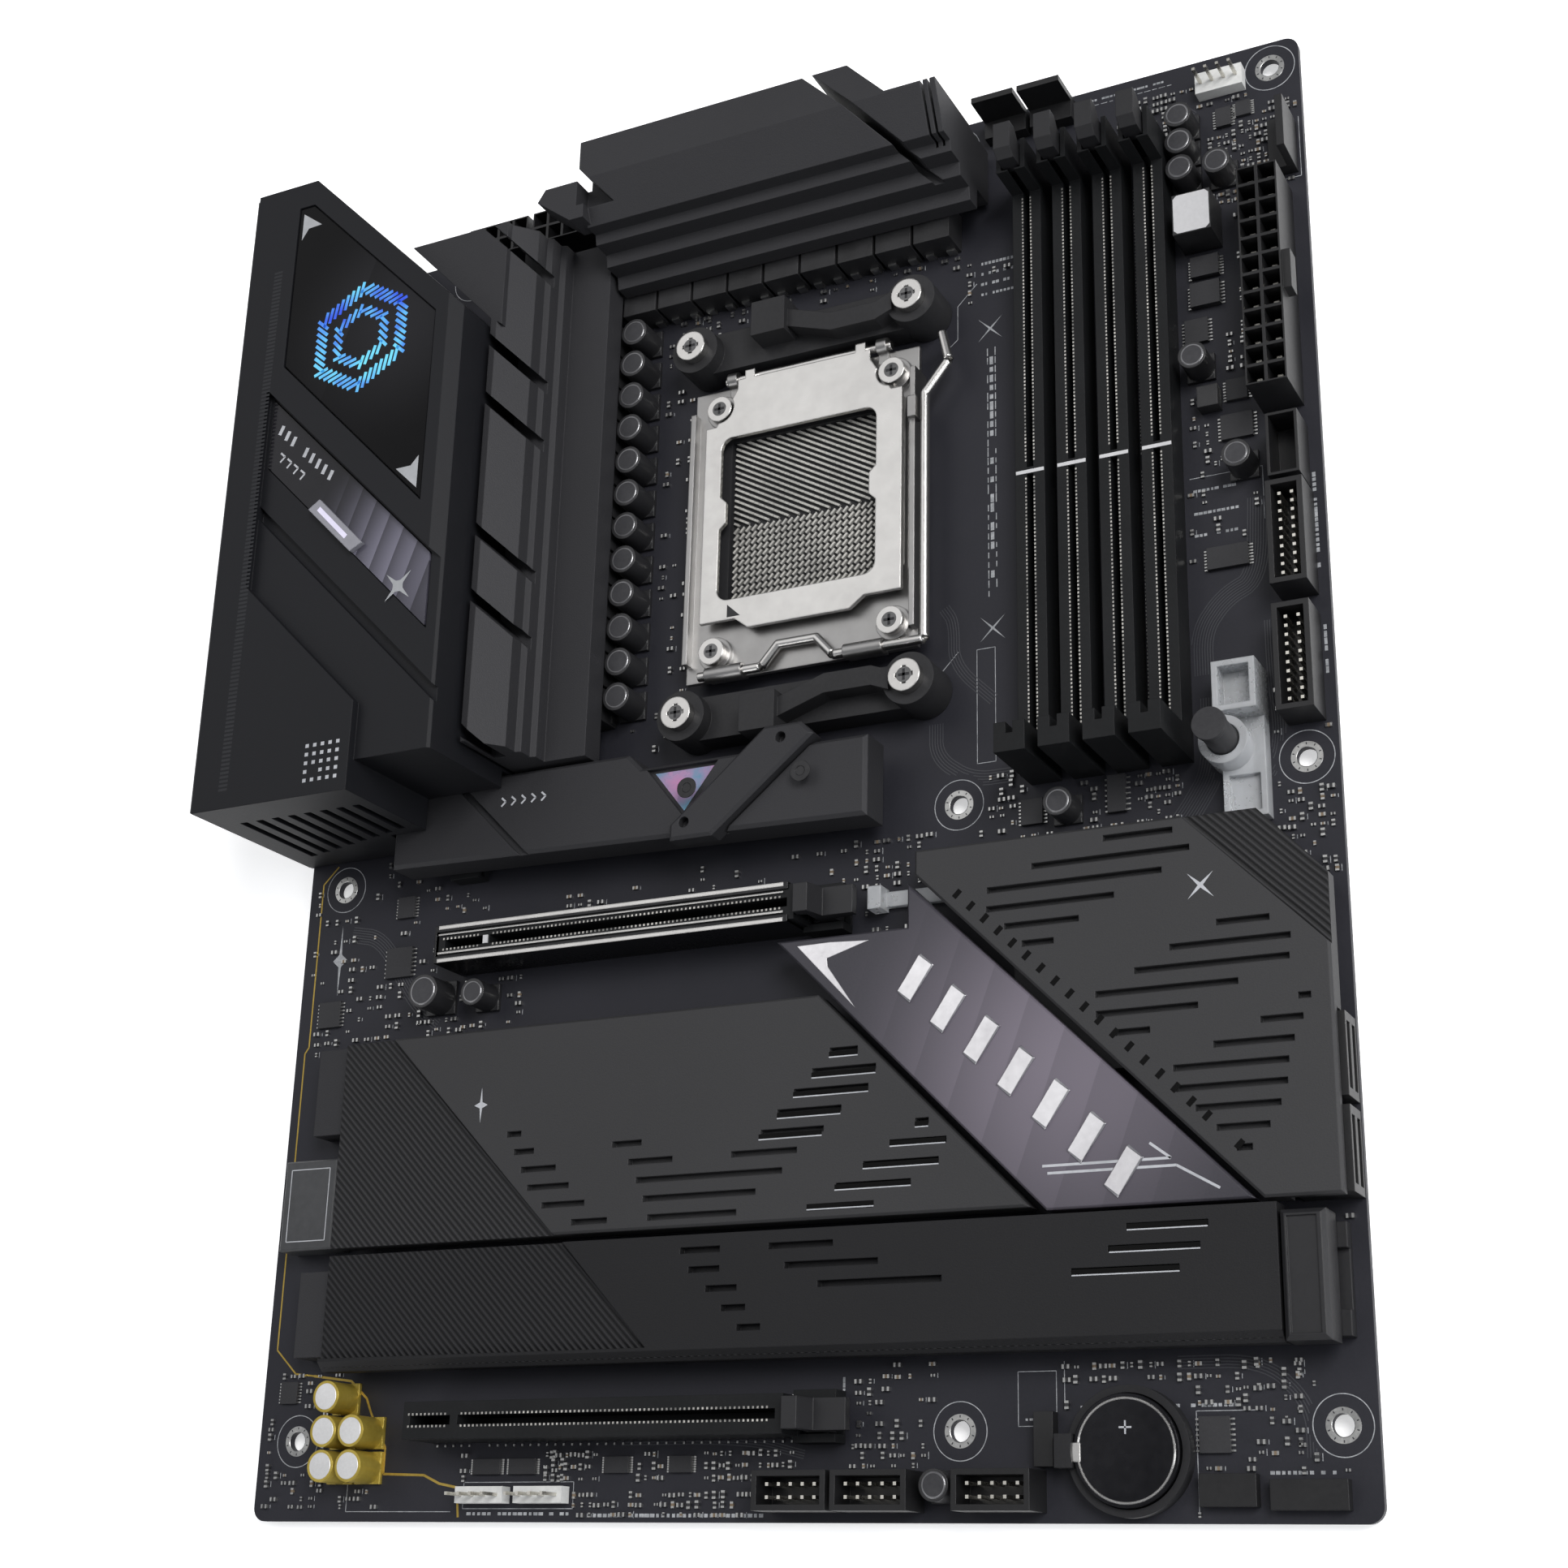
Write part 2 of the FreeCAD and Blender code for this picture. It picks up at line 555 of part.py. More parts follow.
for number in range(4):
    x = dimm_first + dimm_pitch * number
    shell = fuse([block(x - dimm_half, dimm_low, 0, x + dimm_half, dimm_high, dimm_rail),
                  block(x - dimm_half, dimm_low, 0, x + dimm_half, dimm_low + post_long, tower_high),
                  block(x - dimm_half, dimm_high - tower_long, 0, x + dimm_half, dimm_high, tower_high - 4)])
    inner_end = dimm_high - tower_long
    room = latch_half + latch_room
    tools = [block(x - groove_half, dimm_low + post_long - 2.4, dimm_rail - groove_deep,
                   x + groove_half, dimm_key - key_half, tower_high + 1),
             block(x - groove_half, dimm_key + key_half, dimm_rail - groove_deep,
                   x + groove_half, inner_end + 1, tower_high + 1),
             block(x - room, inner_end + 0.4, 0.6, x + room, dimm_high + 1, tower_high + 1),
             rod_along_x(x - room - 0.9, x + room + 0.9, pivot_y, pivot_z, pivot_radius + running)]
    memory_slots.append(cut(shell, tools))
keep(group(memory_slots), "memory_slots")

# ---- Memory latches: a lever on side pins, with a toe under the module and a thumb tab -------
for number in range(4):
    x = dimm_first + dimm_pitch * number
    side_view = [(pivot_y - 3.0, 1.5), (pivot_y + 1.4, 1.5), (pivot_y + 1.4, pivot_z + 2.0),
                 (pivot_y + 2.2, tower_high - 3.4), (pivot_y + 2.2 + thumb_reach, tower_high - 1.4),
                 (pivot_y + 2.2 + thumb_reach, tower_high + 1.2), (pivot_y - 1.8, tower_high + 1.2),
                 (pivot_y - 3.4, tower_high - 1.0), (pivot_y - 3.4, tower_high - 6.0),
                 (pivot_y - 1.2, tower_high - 7.0), (pivot_y - 1.4, pivot_z + 1.6), (pivot_y - 3.0, pivot_z)]
    latch = profile_along_x(side_view, x - latch_half, x + latch_half)
    axle = rod_along_x(x - latch_half - 0.9, x + latch_half + 0.9, pivot_y, pivot_z, pivot_radius)
    keep(fuse([latch, axle]), "memory_latch_%d" % (number + 1))

# ---- Expansion slots: grooved housing with a key, one clad in a steel sheath ----------------
slot_left = cell("slot_left", 45.6)
slot_long = cell("slot_length", 87.6)
slot_half = cell("slot_half_width", 3.75)
slot_high = cell("slot_height", 11.2)
slot_groove = cell("slot_groove_half_width", 0.95)
slot_deep = cell("slot_groove_depth", 8.0)
slot_key = cell("slot_key_from_left", 12.4)
slot_key_half = cell("slot_key_half_length", 0.9)
slot_wall = cell("slot_end_wall", 1.6)
lower_y = cell("lower_slot_y", 19.4)
upper_y = lower_y + cell("slot_row_span", 101.6)
slot_right = slot_left + slot_long
nose_long = cell("slot_nose_length", 8.0)
nose_high = cell("slot_nose_height", 4.6)
paw_half = cell("slot_latch_half_width", 3.0)
paw_room = cell("slot_latch_side_clearance", 0.3)
paw_z = cell("slot_latch_pivot_height", 2.6)
paw_x = slot_right + cell("slot_latch_pivot_reach", 5.0)
paw_pin = cell("slot_latch_pin_radius", 0.8)
key_x = slot_left + slot_key
expansion_slots = []
for y in (upper_y, lower_y):
    room = paw_half + paw_room
    shell = fuse([block(slot_left, y - slot_half, 0, slot_right, y + slot_half, slot_high),
                  block(slot_right - 1, y - slot_half - 1.2, 0, slot_right + nose_long, y + slot_half + 1.2, nose_high)])
    tools = [block(slot_left + slot_wall, y - slot_groove, slot_high - slot_deep,
                   key_x - slot_key_half, y + slot_groove, slot_high + 1),
             block(key_x + slot_key_half, y - slot_groove, slot_high - slot_deep,
                   slot_right - slot_wall, y + slot_groove, slot_high + 1),
             block(slot_right + gap, y - room, 0.5, slot_right + nose_long + 1, y + room, nose_high + 1),
             rod_along_y(paw_x, y - room - 0.9, y + room + 0.9, paw_z, paw_pin + running)]
    expansion_slots.append(cut(shell, tools))
keep(group(expansion_slots), "expansion_slots")
sheath = cell("sheath_thick", 0.5)
sheath_top = slot_high + cell("sheath_above_slot", 0.4)
lip = cell("sheath_lip", 1.0)
y0, y1 = upper_y - slot_half, upper_y + slot_half
sheath_east = slot_right - 1.0 - gap
sides = [block(slot_left - 0.4, y0 - sheath, 0.2, sheath_east, y0, sheath_top),
         block(slot_left - 0.4, y1, 0.2, sheath_east, y1 + sheath, sheath_top),
         block(slot_left - 0.4, y0 - sheath, slot_high, sheath_east, y0 + lip, sheath_top),
         block(slot_left - 0.4, y1 - lip, slot_high, sheath_east, y1 + sheath, sheath_top),
         block(slot_left - 0.4 - sheath, y0 - sheath, 0.2, slot_left - 0.4, y1 + sheath, sheath_top)]
keep(fuse(sides), "expansion_slot_sheath")

# ---- Slot latches: a rocking paw with a hook over the card's foot and a framed paddle --------
paddle_long = cell("slot_latch_paddle", 7.0)
paddle_z = cell("slot_latch_paddle_height", 8.6)
paw_top = cell("slot_latch_top", 13.4)
for label, y in (("expansion_latch_upper", upper_y), ("expansion_latch_lower", lower_y)):
    body = doc.addObject("PartDesign::Body", "Body")
    side_view = [(slot_right + 1.0, 1.4), (paw_x + 1.8, 1.4), (paw_x + 1.8, nose_high + 1.2),
                 (paw_x + paddle_long, paddle_z - 2.0), (paw_x + paddle_long, paddle_z),
                 (paw_x + 0.2, paddle_z), (paw_x - 1.0, paw_top), (slot_right + 0.8, paw_top),
                 (slot_right + 0.8, paw_top - 2.2), (paw_x - 2.2, paw_top - 3.0), (paw_x - 2.2, nose_high),
                 (slot_right + 1.0, nose_high - 0.6)]
    pad(body, outline(body, "XZ_Plane", [side_view], -(y + paw_half)), paw_half * 2)
    axle = rod_along_y(paw_x, y - paw_half - 0.9, y + paw_half + 0.9, paw_z, paw_pin)
    keep(fuse([body, axle]), label)

# ---- Power connectors: the main block on the right edge, processor power behind the cover ----
cell_pitch = cell("power_cell_pitch", 4.2)
cell_half = cell("power_cell_half", 1.75)
cell_deep = cell("power_cell_depth", 9.0)
power_high = cell("power_height", 12.8)
power_x = board_width - cell("power_from_right", 11.4)
power_y = board_length - cell("power_from_top", 88.6)


def power_block(x, y, columns, rows):
    """A moulded block of square cells, its low corner at x, y."""
    shell = block(x, y, 0, x + cell_pitch * columns, y + cell_pitch * rows, power_high)
    cells = [block(x + cell_pitch * (i + 0.5) - cell_half, y + cell_pitch * (j + 0.5) - cell_half,
                   power_high - cell_deep, x + cell_pitch * (i + 0.5) + cell_half,
                   y + cell_pitch * (j + 0.5) + cell_half, power_high + 1)
             for i in range(columns) for j in range(rows)]
    item = doc.addObject("Part::Cut", "Cut")
    item.Base = shell
    item.Tool = group(cells)
    return item


catch_mid = power_y + cell_pitch * 6
main_shell = power_block(power_x, power_y, 2, 12)
main_right = power_x + cell_pitch * 2
catch = block(main_right, catch_mid - 4.4, power_high - 5, main_right + 1.7, catch_mid + 4.4, power_high - 1)
main_power = fuse([main_shell, catch])
cpu_power_x = cell("cpu_power_x", 40.4)
cpu_power_y = board_length - cell("cpu_power_from_top", 9.6)
cpu_power = [power_block(cpu_power_x + 18.4 * i, cpu_power_y, 4, 2) for i in (0, 1)]
keep(group([main_power] + cpu_power), "power_connectors")

# ---- Rear connector cover: a moulded shell over the ports, open at the rear and below --------
cover_south = board_length - cell("cover_low_from_top", 157.3)
cover_north = board_length + cell("cover_above_board", 1.4)
cover_rear = cell("cover_rear", -0.5)
cover_east = cell("cover_east", 61.0)
cover_step_x = cell("cover_step_x", 41.5)
cover_step_y = cover_south + cell("cover_step", 7.4)
cover_notch_x = cell("cover_corner_x", 17.0)
cover_notch = cover_north - cell("cover_corner_drop", 44.0)
cover_top = cell("cover_top", 43.5)
cover_floor = cell("cover_floor", 1.0)
cover_wall = cell("cover_wall", 2.2)
valley = cell("cover_valley_depth", 2.0)
valley_left = cell("cover_valley_left", 8.0)
step_y = cover_south + cell("cover_step_rise", 20.5)
bend_y = cover_south + cell("cover_bend_rise", 53.5)
ridge_left_y = cover_south + cell("cover_ridge_left", 104.0)
ridge_right_y = ridge_left_y - (cover_east - valley_left)
hood = plate([[(cover_rear, cover_south), (cover_step_x, cover_south), (cover_step_x, cover_step_y),
               (cover_east, cover_step_y), (cover_east, cover_notch), (cover_notch_x, cover_north),
               (cover_rear, cover_north)]], cover_floor, cover_top)


def on_east_edge(edge):
    return at_height(cover_top)(edge) and all(abs(v.Point.x - value_of(cover_east)) < 1e-6 for v in edge.Vertexes)


soften(hood, "Chamfer", on_east_edge, cell("cover_bevel", 2.6))
inside = [(cover_rear - 1, cover_south + cover_wall), (cover_step_x - cover_wall, cover_south + cover_wall),
          (cover_step_x - cover_wall, cover_step_y + cover_wall), (cover_east - cover_wall, cover_step_y + cover_wall),
          (cover_east - cover_wall, cover_notch - 1), (cover_notch_x - 1, cover_north - cover_wall),
          (cover_rear - 1, cover_north - cover_wall)]
cavity = plate([inside], cover_floor - 1, cover_top - valley - cover_wall)
dip = plate([[(valley_left, bend_y), (cover_step_x, step_y), (cover_step_x, cover_south - 1),
              (cover_east + 1, cover_south - 1), (cover_east + 1, ridge_right_y - 1), (valley_left, ridge_left_y)]],
            cover_top - valley, cover_top + 1)
pane_west = cell("pane_west", 12.3)
pane_east = cell("pane_east", 55.0)
pane_top = cover_north - cell("pane_from_top", 6.6)
pane_shoulder = cell("pane_shoulder", 4.4)
pane_fall = cell("pane_left_fall", 43.0)
pane_rise = cell("pane_right_rise", 48.0)
pane_drop = pane_east - pane_west - pane_shoulder
pane_deep = cell("pane_depth", 1.4)


def pane_outline(margin):
    """The window's six corners, drawn in by a margin."""
    return [(pane_west + margin, pane_top - pane_fall + margin * 0.5),
            (pane_east - margin, pane_top - pane_drop - pane_rise + margin * 2.4),
            (pane_east - margin, pane_top - pane_drop - margin * 0.5),
            (pane_west + pane_shoulder - margin * 0.5, pane_top - margin), (pane_west + margin, pane_top - margin)]


pane_seat = plate([pane_outline(Size(0, "0"))], cover_top - pane_deep, cover_top + 1)
bar_top_left = ridge_left_y - cell("light_bar_below_ridge", 2.0)
bar_high_y = cell("light_bar_height", 18.0)
bar_left = valley_left + cell("light_bar_left", 1.2)
bar_right = cover_east - cell("light_bar_from_edge", 3.2)
bar_deep = cell("light_bar_depth", 1.2)


def bar_outline(margin):
    """A leaning strip that falls at 45 degrees."""
    run = bar_right - bar_left
    return [(bar_left + margin, bar_top_left - bar_high_y), (bar_right - margin, bar_top_left - run - bar_high_y + margin * 2),
            (bar_right - margin, bar_top_left - run), (bar_left + margin, bar_top_left - margin * 2)]


bar_seat = plate([bar_outline(Size(0, "0"))], cover_top - valley - bar_deep, cover_top + 1)
furrow_y = bar_top_left - bar_high_y - cell("furrow_below_bar", 9.4)
furrow_wide = cell("furrow_width", 3.4)
furrow_run = cover_east + 1 - valley_left
furrow = plate([[(valley_left, furrow_y - furrow_wide), (cover_east + 1, furrow_y - furrow_wide - furrow_run),
                 (cover_east + 1, furrow_y - furrow_run), (valley_left, furrow_y)]],
               cover_top - valley - 1.6, cover_top + 1)
vents = [block(cover_rear + 6 + 4.4 * i, cover_south - 1, 8 + i * 1.2, cover_rear + 8 + 4.4 * i,
               cover_south + cover_wall + 1, 34) for i in range(8)]
passage = block(drive_west - 0.6, cover_south - 1, 0, cover_east + 1, drive_high + 0.6, drive_top + 0.6)
keep(cut(hood, [cavity, dip, pane_seat, bar_seat, furrow, passage] + vents), "rear_cover")

# ---- Cover window: a dark glossy pane with a small gap all round -----------------------------
pane = plate([pane_outline(gap)], cover_top - pane_deep, cover_top - 0.3)
keep(pane, "rear_cover_window")
light_bar = plate([bar_outline(gap)], cover_top - valley - bar_deep, cover_top - valley + 0.3)
keep(light_bar, "rear_cover_light_bar")

# ---- Rear shield: the thin plate that fills the case's connector opening ---------------------
shield_thick = cell("shield_thick", 0.8)
shield_west = cover_rear - gap - shield_thick
shield_low = cell("shield_low", -1.4)
shield_high = cell("shield_high", 42.6)
usb_half = cell("usb_half_width", 7.2)
usb_high = cell("usb_stack_height", 15.6)
port_deep = cell("port_depth", 17.5)
port_nose = cell("port_nose", 0.9)
port_west = shield_west - port_nose


def from_top(distance):
    return board_length - distance


usb_rows = [from_top(43.0), from_top(61.0), from_top(79.0)]
jack_y = from_top(99.0)
jack_half = cell("network_half_width", 8.1)
jack_low = cell("network_low", 16.0)
jack_high = cell("network_top", 29.6)
video_y = from_top(24.0)
video_half = cell("video_half_width", 7.6)
aerial_rows = [from_top(114.0), from_top(122.0)]
aerial_radius = cell("aerial_radius", 3.1)
aerial_z = cell("aerial_height", 20.0)
aerial_reach = cell("aerial_reach", 6.5)
audio_rows = [from_top(136.0), from_top(149.0)]
audio_pitch = cell("audio_pitch", 11.6)
audio_z = cell("audio_height", 6.4)
audio_radius = cell("audio_ferrule_radius", 4.2)
audio_bore = cell("audio_bore_radius", 1.8)
button_y = from_top(9.0)
button_radius = cell("rear_button_radius", 2.1)
button_rows = [cell("flash_button_height", 8.0), cell("clear_button_height", 20.0)]
clear = gap
ports = [block(shield_west - 1, y - usb_half - clear, -0.2, cover_rear, y + usb_half + clear, usb_high + clear)
         for y in usb_rows]
ports.append(block(shield_west - 1, jack_y - jack_half - clear, -0.2, cover_rear, jack_y + jack_half + clear,
                   jack_high + clear))
ports.append(block(shield_west - 1, video_y - video_half - clear, -0.2, cover_rear, video_y + video_half + clear, 20.4 + clear))
ports += [rod_along_x(shield_west - 1, cover_rear, y, aerial_z, aerial_radius + clear) for y in aerial_rows]
ports += [rod_along_x(shield_west - 1, cover_rear, y, audio_z + audio_pitch * k, audio_radius + clear)
          for y in audio_rows for k in (0, 1, 2)]
ports += [rod_along_x(shield_west - 1, cover_rear, button_y, z, button_radius + clear) for z in button_rows]
shield = block(shield_west, cover_south + 0.6, shield_low, shield_west + shield_thick, cover_north - 0.6, shield_high)
keep(cut(shield, ports), "rear_shield")

# ---- USB ports: three folded steel stacks, each with two sockets and their tongues -----------
stacks = []
for y in usb_rows:
    can = block(port_west, y - usb_half, 0, port_west + port_deep, y + usb_half, usb_high)
    mouths = [block(port_west - 1, y - 6.2, z - 2.6, port_west + 12, y + 6.2, z + 2.6) for z in (4.2, 11.4)]
    tongues = [block(port_west + 1.2, y - 5.4, z, port_west + 12.5, y + 5.4, z + 1.9) for z in (4.6, 11.8)]
    stacks.append(fuse([cut(can, mouths)] + tongues))

# ---- Video ports: two shells, one over the other, on one moulded foot ------------------------
video = [block(port_west + 1.6, video_y - video_half, 0, port_west + port_deep, video_y + video_half, 20.4)]
mouths = []
for z in (5.6, 15.0):
    video.append(block(port_west, video_y - 7.2, z - 2.9, port_west + 3, video_y + 7.2, z + 2.9))
    mouths.append(block(port_west - 1, video_y - 6.8, z - 2.4, port_west + 10, video_y + 6.8, z - 0.5))
    mouths.append(block(port_west - 1, video_y - 6.8, z + 0.5, port_west + 10, video_y + 6.8, z + 2.4))
keep(group(stacks + [cut(fuse(video), mouths)]), "usb_and_video_ports")

# ---- Network port: a shielded socket above a double stack ------------------------------------
can = block(port_west, jack_y - jack_half, 0, port_west + port_deep, jack_y + jack_half, jack_high)
mouths = [block(port_west - 1, jack_y - 5.9, jack_low + 2.6, port_west + 13, jack_y + 5.9, jack_low + 10.6),
          block(port_west - 1, jack_y - 2.4, jack_low + 10.5, port_west + 6, jack_y + 2.4, jack_low + 12.4)]
mouths += [block(port_west - 1, jack_y - 6.2, z - 2.6, port_west + 12, jack_y + 6.2, z - 0.2) for z in (4.2, 11.4)]
keep(cut(can, mouths), "network_port")

# ---- Aerial jacks: two threaded brass stubs on a small can -----------------------------------
stubs = []
aerial_west = cover_rear - gap - aerial_reach
for y in aerial_rows:
    tube = rod_along_x(aerial_west, 4, y, aerial_z, aerial_radius)
    socket = rod_along_x(aerial_west - 1, aerial_west + 5, y, aerial_z, aerial_radius * 0.62)
    stubs.append(cut(tube, [socket]))
can_low, can_high = aerial_rows[1] - 4.4, aerial_rows[0] + 4.4
stubs.append(block(4, can_low, 0, 10, can_high, aerial_z + 4))
keep(group(stubs), "aerial_jacks")

# ---- Audio jacks: ferrules on one moulded block per column -----------------------------------
columns = []
for y in audio_rows:
    rack = block(port_west + port_nose + 1.4, y - 6.1, 0, port_west + 15, y + 6.1, audio_z + audio_pitch * 2 + 5.6)
    ferrules = [rod_along_x(port_west, port_west + 4, y, audio_z + audio_pitch * k, audio_radius) for k in (0, 1, 2)]
    bores = [rod_along_x(port_west - 1, port_west + 13, y, audio_z + audio_pitch * k, audio_bore) for k in (0, 1, 2)]
    columns.append(cut(fuse([rack] + ferrules), bores))
keep(group(columns), "audio_jacks")

# ---- Rear push buttons: round caps on a stem, sliding in their switch cans -------------------
button_travel = cell("rear_button_travel", 0.8)
switch_x = cover_rear + cell("rear_switch_x", 4.0)
cans = []
for label, z in (("firmware_button", button_rows[0]), ("reset_settings_button", button_rows[1])):
    cap = rod_along_x(shield_west - 1.2, switch_x - button_travel - gap, button_y, z, button_radius)
    stem = rod_along_x(switch_x - 2, switch_x + 1.2, button_y, z, 1.0)
    keep(fuse([cap, stem]), label)
    can = block(switch_x, button_y - 3.2, z - 3.2, switch_x + 5, button_y + 3.2, z + 3.2)
    cans.append(cut(can, [rod_along_x(switch_x - 1, switch_x + 1.2 + button_travel + gap, button_y, z, 1.0 + running)]))
bracket = block(switch_x + 5, button_y - 3.2, 0, switch_x + 6.2, button_y + 3.2, button_rows[1] + 3.2)
keep(fuse(cans + [bracket]), "rear_switches")

# ---- Power stage: chokes in two rows, low black packages between them and the cover ----------
choke_pitch = cell("choke_pitch", 8.37)
choke_side = cell("choke_side", 7.7)
choke_high = cell("choke_height", 7.4)
choke_x = cell("choke_row_x", 73.2)
choke_first = from_top(134.4)
row_y = from_top(33.0)
row_x = cell("choke_top_row_x", 82.6)
row_pitch = cell("choke_top_pitch", 9.35)
blocks = [block(choke_x, choke_first + choke_pitch * i, 0, choke_x + 8.4, choke_first + choke_pitch * i + choke_side,
                choke_high) for i in range(12)]
blocks += [block(row_x + row_pitch * i, row_y, 0, row_x + row_pitch * i + 8.6, row_y + 9.0, choke_high)
           for i in range(9)]
memory_choke_x = board_width - 26.5
blocks.append(block(memory_choke_x, from_top(47.6), 0, memory_choke_x + 8.2, from_top(38.0), 8.6))
blocks.append(block(memory_choke_x + 2.2, from_top(86.0), 0, memory_choke_x + 6.6, from_top(81.2), 3.4))
keep(group(blocks), "power_chokes")
stages = [block(64.4, choke_first + choke_pitch * i + 1.2, 0, 69.8, choke_first + choke_pitch * i + 6.6, 1.0)
          for i in range(12)]
stages += [block(row_x + row_pitch * i + 1.4, from_top(22.4), 0, row_x + row_pitch * i + 6.8, from_top(17.0), 1.0)
           for i in range(9)]
chip_x, chip_y = board_width - 63.0, cell("chipset_y", 84.0)
stages.append(block(chip_x, chip_y, 0, chip_x + 25, chip_y + 25, 2.2))
keep(group(stages), "power_and_chipset_chips")


# ---- Capacitors: rolled aluminium cans on a square foot --------------------------------------
def can_capacitor(x, y, radius, height):
    foot = block(x - radius, y - radius, 0, x + radius, y + radius, 0.9)
    return fuse([foot, post(x, y, 0.5, height, radius)])


vrm_cap_x = cell("vrm_capacitor_x", 86.2)
vrm_cap_radius = cell("vrm_capacitor_radius", 3.3)
vrm_cap_high = cell("vrm_capacitor_height", 8.2)
cap_first = from_top(130.2)
vrm_cans = [can_capacitor(vrm_cap_x, cap_first + choke_pitch * i, vrm_cap_radius, vrm_cap_high) for i in range(12)]
audio_cap = cell("audio_capacitor_radius", 3.3)
audio_cap_high = cell("audio_capacitor_height", 8.0)
audio_x, audio_y, audio_step = cell("audio_capacitor_x", 22.8), cell("audio_capacitor_y", 10.8), cell("audio_step", 7.1)
places = [(0, 0), (1, 0), (0, 1), (1, 1), (0, 2)]
keep(group([can_capacitor(audio_x + audio_step * i, audio_y + audio_step * j, audio_cap, audio_cap_high)
            for i, j in places]), "audio_capacitors")
small = cell("small_capacitor_radius", 3.0)
edge_x = board_width - 25.1
others = [(edge_x, from_top(16.9)), (edge_x, from_top(23.5)), (edge_x, from_top(30.1)), (edge_x + 8, from_top(30.6)),
          (edge_x + 1.2, from_top(75.6)), (edge_x + 9.4, from_top(99.8)), (cell("mid_capacitor_x", 189.0), from_top(168.4)),
          (52.4, 110.8), (162.6, 6.4)]
cans = [can_capacitor(x, y, small, 7.0) for x, y in others]
cans.append(can_capacitor(Size(40.0, "40"), 111.9, Size(3.8, "3.8"), 8.2))
keep(group(vrm_cans + cans), "black_capacitors")

# ---- Left heatsink: an extruded step profile beside the cover, cut by leaning slots ----------
sink_west = cover_east + cell("sink_gap", 1.2)
sink_low = from_top(145.6)
sink_high = from_top(16.4)
pad_thick = cell("thermal_pad", 0.5)
sink_foot = choke_high + pad_thick
step_z = cell("sink_step_height", 14.0)
sink_top = cell("sink_top", 32.0)
sink_east = cell("sink_east", 82.6)
wall_x = cell("sink_wall_x", 70.0)
stairs = [(sink_west, 1.5), (wall_x + 1.6, 1.5), (wall_x + 1.6, sink_foot), (sink_east, sink_foot), (sink_east, step_z),
          (wall_x + 2.2, step_z), (wall_x + 2.2, step_z + 3.4), (wall_x + 0.9, step_z + 3.9),
          (wall_x + 0.9, step_z + 7.4), (wall_x - 0.4, step_z + 7.9), (wall_x - 0.4, step_z + 11.5),
          (sink_west + 1.6, sink_top), (sink_west, sink_top)]
spine = profile_along_y(stairs, sink_low, sink_high)
wedge = plate([[(sink_west - 0.1, cover_notch + 1.2), (sink_west + 3, cover_notch - 1), (sink_west + 3, sink_high),
                (cover_notch_x + (cover_north - sink_high) + 3.4, sink_high)]], sink_top - 9, sink_top)
slots = []
slot_rise = cell("sink_slot_width", 3.0)
for drop in (4.0, 32.0, 47.0, 80.0, 96.0, 128.0):
    start = sink_high - drop
    slots.append(plate([[(sink_west - 26, start + 26), (sink_east + 1, start - (sink_east + 1 - sink_west)),
                         (sink_east + 1, start - (sink_east + 1 - sink_west) + slot_rise),
                         (sink_west - 26, start + 26 + slot_rise)]], step_z + 6, sink_top + 1))
tools = doc.addObject("Part::Compound", "Group")
tools.Links = slots
left_sink = doc.addObject("Part::Cut", "Cut")
left_sink.Base = fuse([spine, wedge])
left_sink.Tool = tools
keep(left_sink, "heatsink_left")

# ---- Top heatsink: an extruded stair profile with a sloped crown cut by leaning slots --------
crown_west = cell("top_sink_crown_west", 72.0)
crown_east = cell("top_sink_crown_east", 173.0)
crown_back = from_top(0.0)
crown_top = cell("top_sink_top", 31.6)
front_y = from_top(28.4)
ridge_y = from_top(10.0)
mid_z = cell("top_sink_back_floor", 12.0)
stairs = [(front_y, sink_foot), (front_y, sink_foot + 4), (front_y + 3.0, sink_foot + 4.6),
          (front_y + 3.0, sink_foot + 9.4), (front_y + 6.0, sink_foot + 10), (front_y + 6.0, sink_foot + 14.6),
          (front_y + 8.4, sink_foot + 15.2), (front_y + 8.4, crown_top - 5.0), (ridge_y, crown_top),
          (crown_back, crown_top), (crown_back, mid_z + 8), (ridge_y, mid_z), (ridge_y, sink_foot - 6.4),
          (row_y + 9.0 + gap * 2, sink_foot - 6.4), (row_y + 9.0 + gap * 2, sink_foot)]
crown = profile_along_x(stairs, sink_east + 1.0, crown_east)
west_slats = plate([[(crown_west, from_top(12.5)), (crown_west + 9, from_top(19.5)), (sink_east + 2, from_top(19.5)),
                     (sink_east + 2, from_top(9.5)), (crown_west + 2.0, from_top(9.5))]],
                   crown_top - 8, crown_top - 1.0)
lean = cell("top_sink_lean", 26.0)


def leaning_cut(x, width, z):
    """A 45 degree slot that starts at x on the back edge and runs toward the front."""
    return plate([[(x, crown_back + 1), (x + width, crown_back + 1), (x + width + lean + 1, crown_back - lean),
                   (x + lean + 1, crown_back - lean)]], z, crown_top + 1)


corner = plate([[(crown_east - 22, crown_back + 1), (crown_east + 1, crown_back + 1), (crown_east + 1, ridge_y + 0.6),
                 (crown_east - 12, ridge_y + 0.6)]], mid_z - 1, crown_top + 1)
heel = plate([[(sink_east, from_top(6.0)), (sink_east + 9, from_top(16.0)), (sink_east, from_top(16.0))]],
             crown_top - 6, crown_top + 1)
end_slits = [block(crown_east - 3.4 + 1.6 * i, from_top(21), crown_top - 12, crown_east - 2.8 + 1.6 * i, from_top(8.0),
                   crown_top + 1) for i in (0, 1)]
crown_tools = [leaning_cut(crown_east - 33.0, 2.4, mid_z + 4), corner, heel] + end_slits
keep(cut(fuse([crown, west_slats]), crown_tools), "heatsink_top")

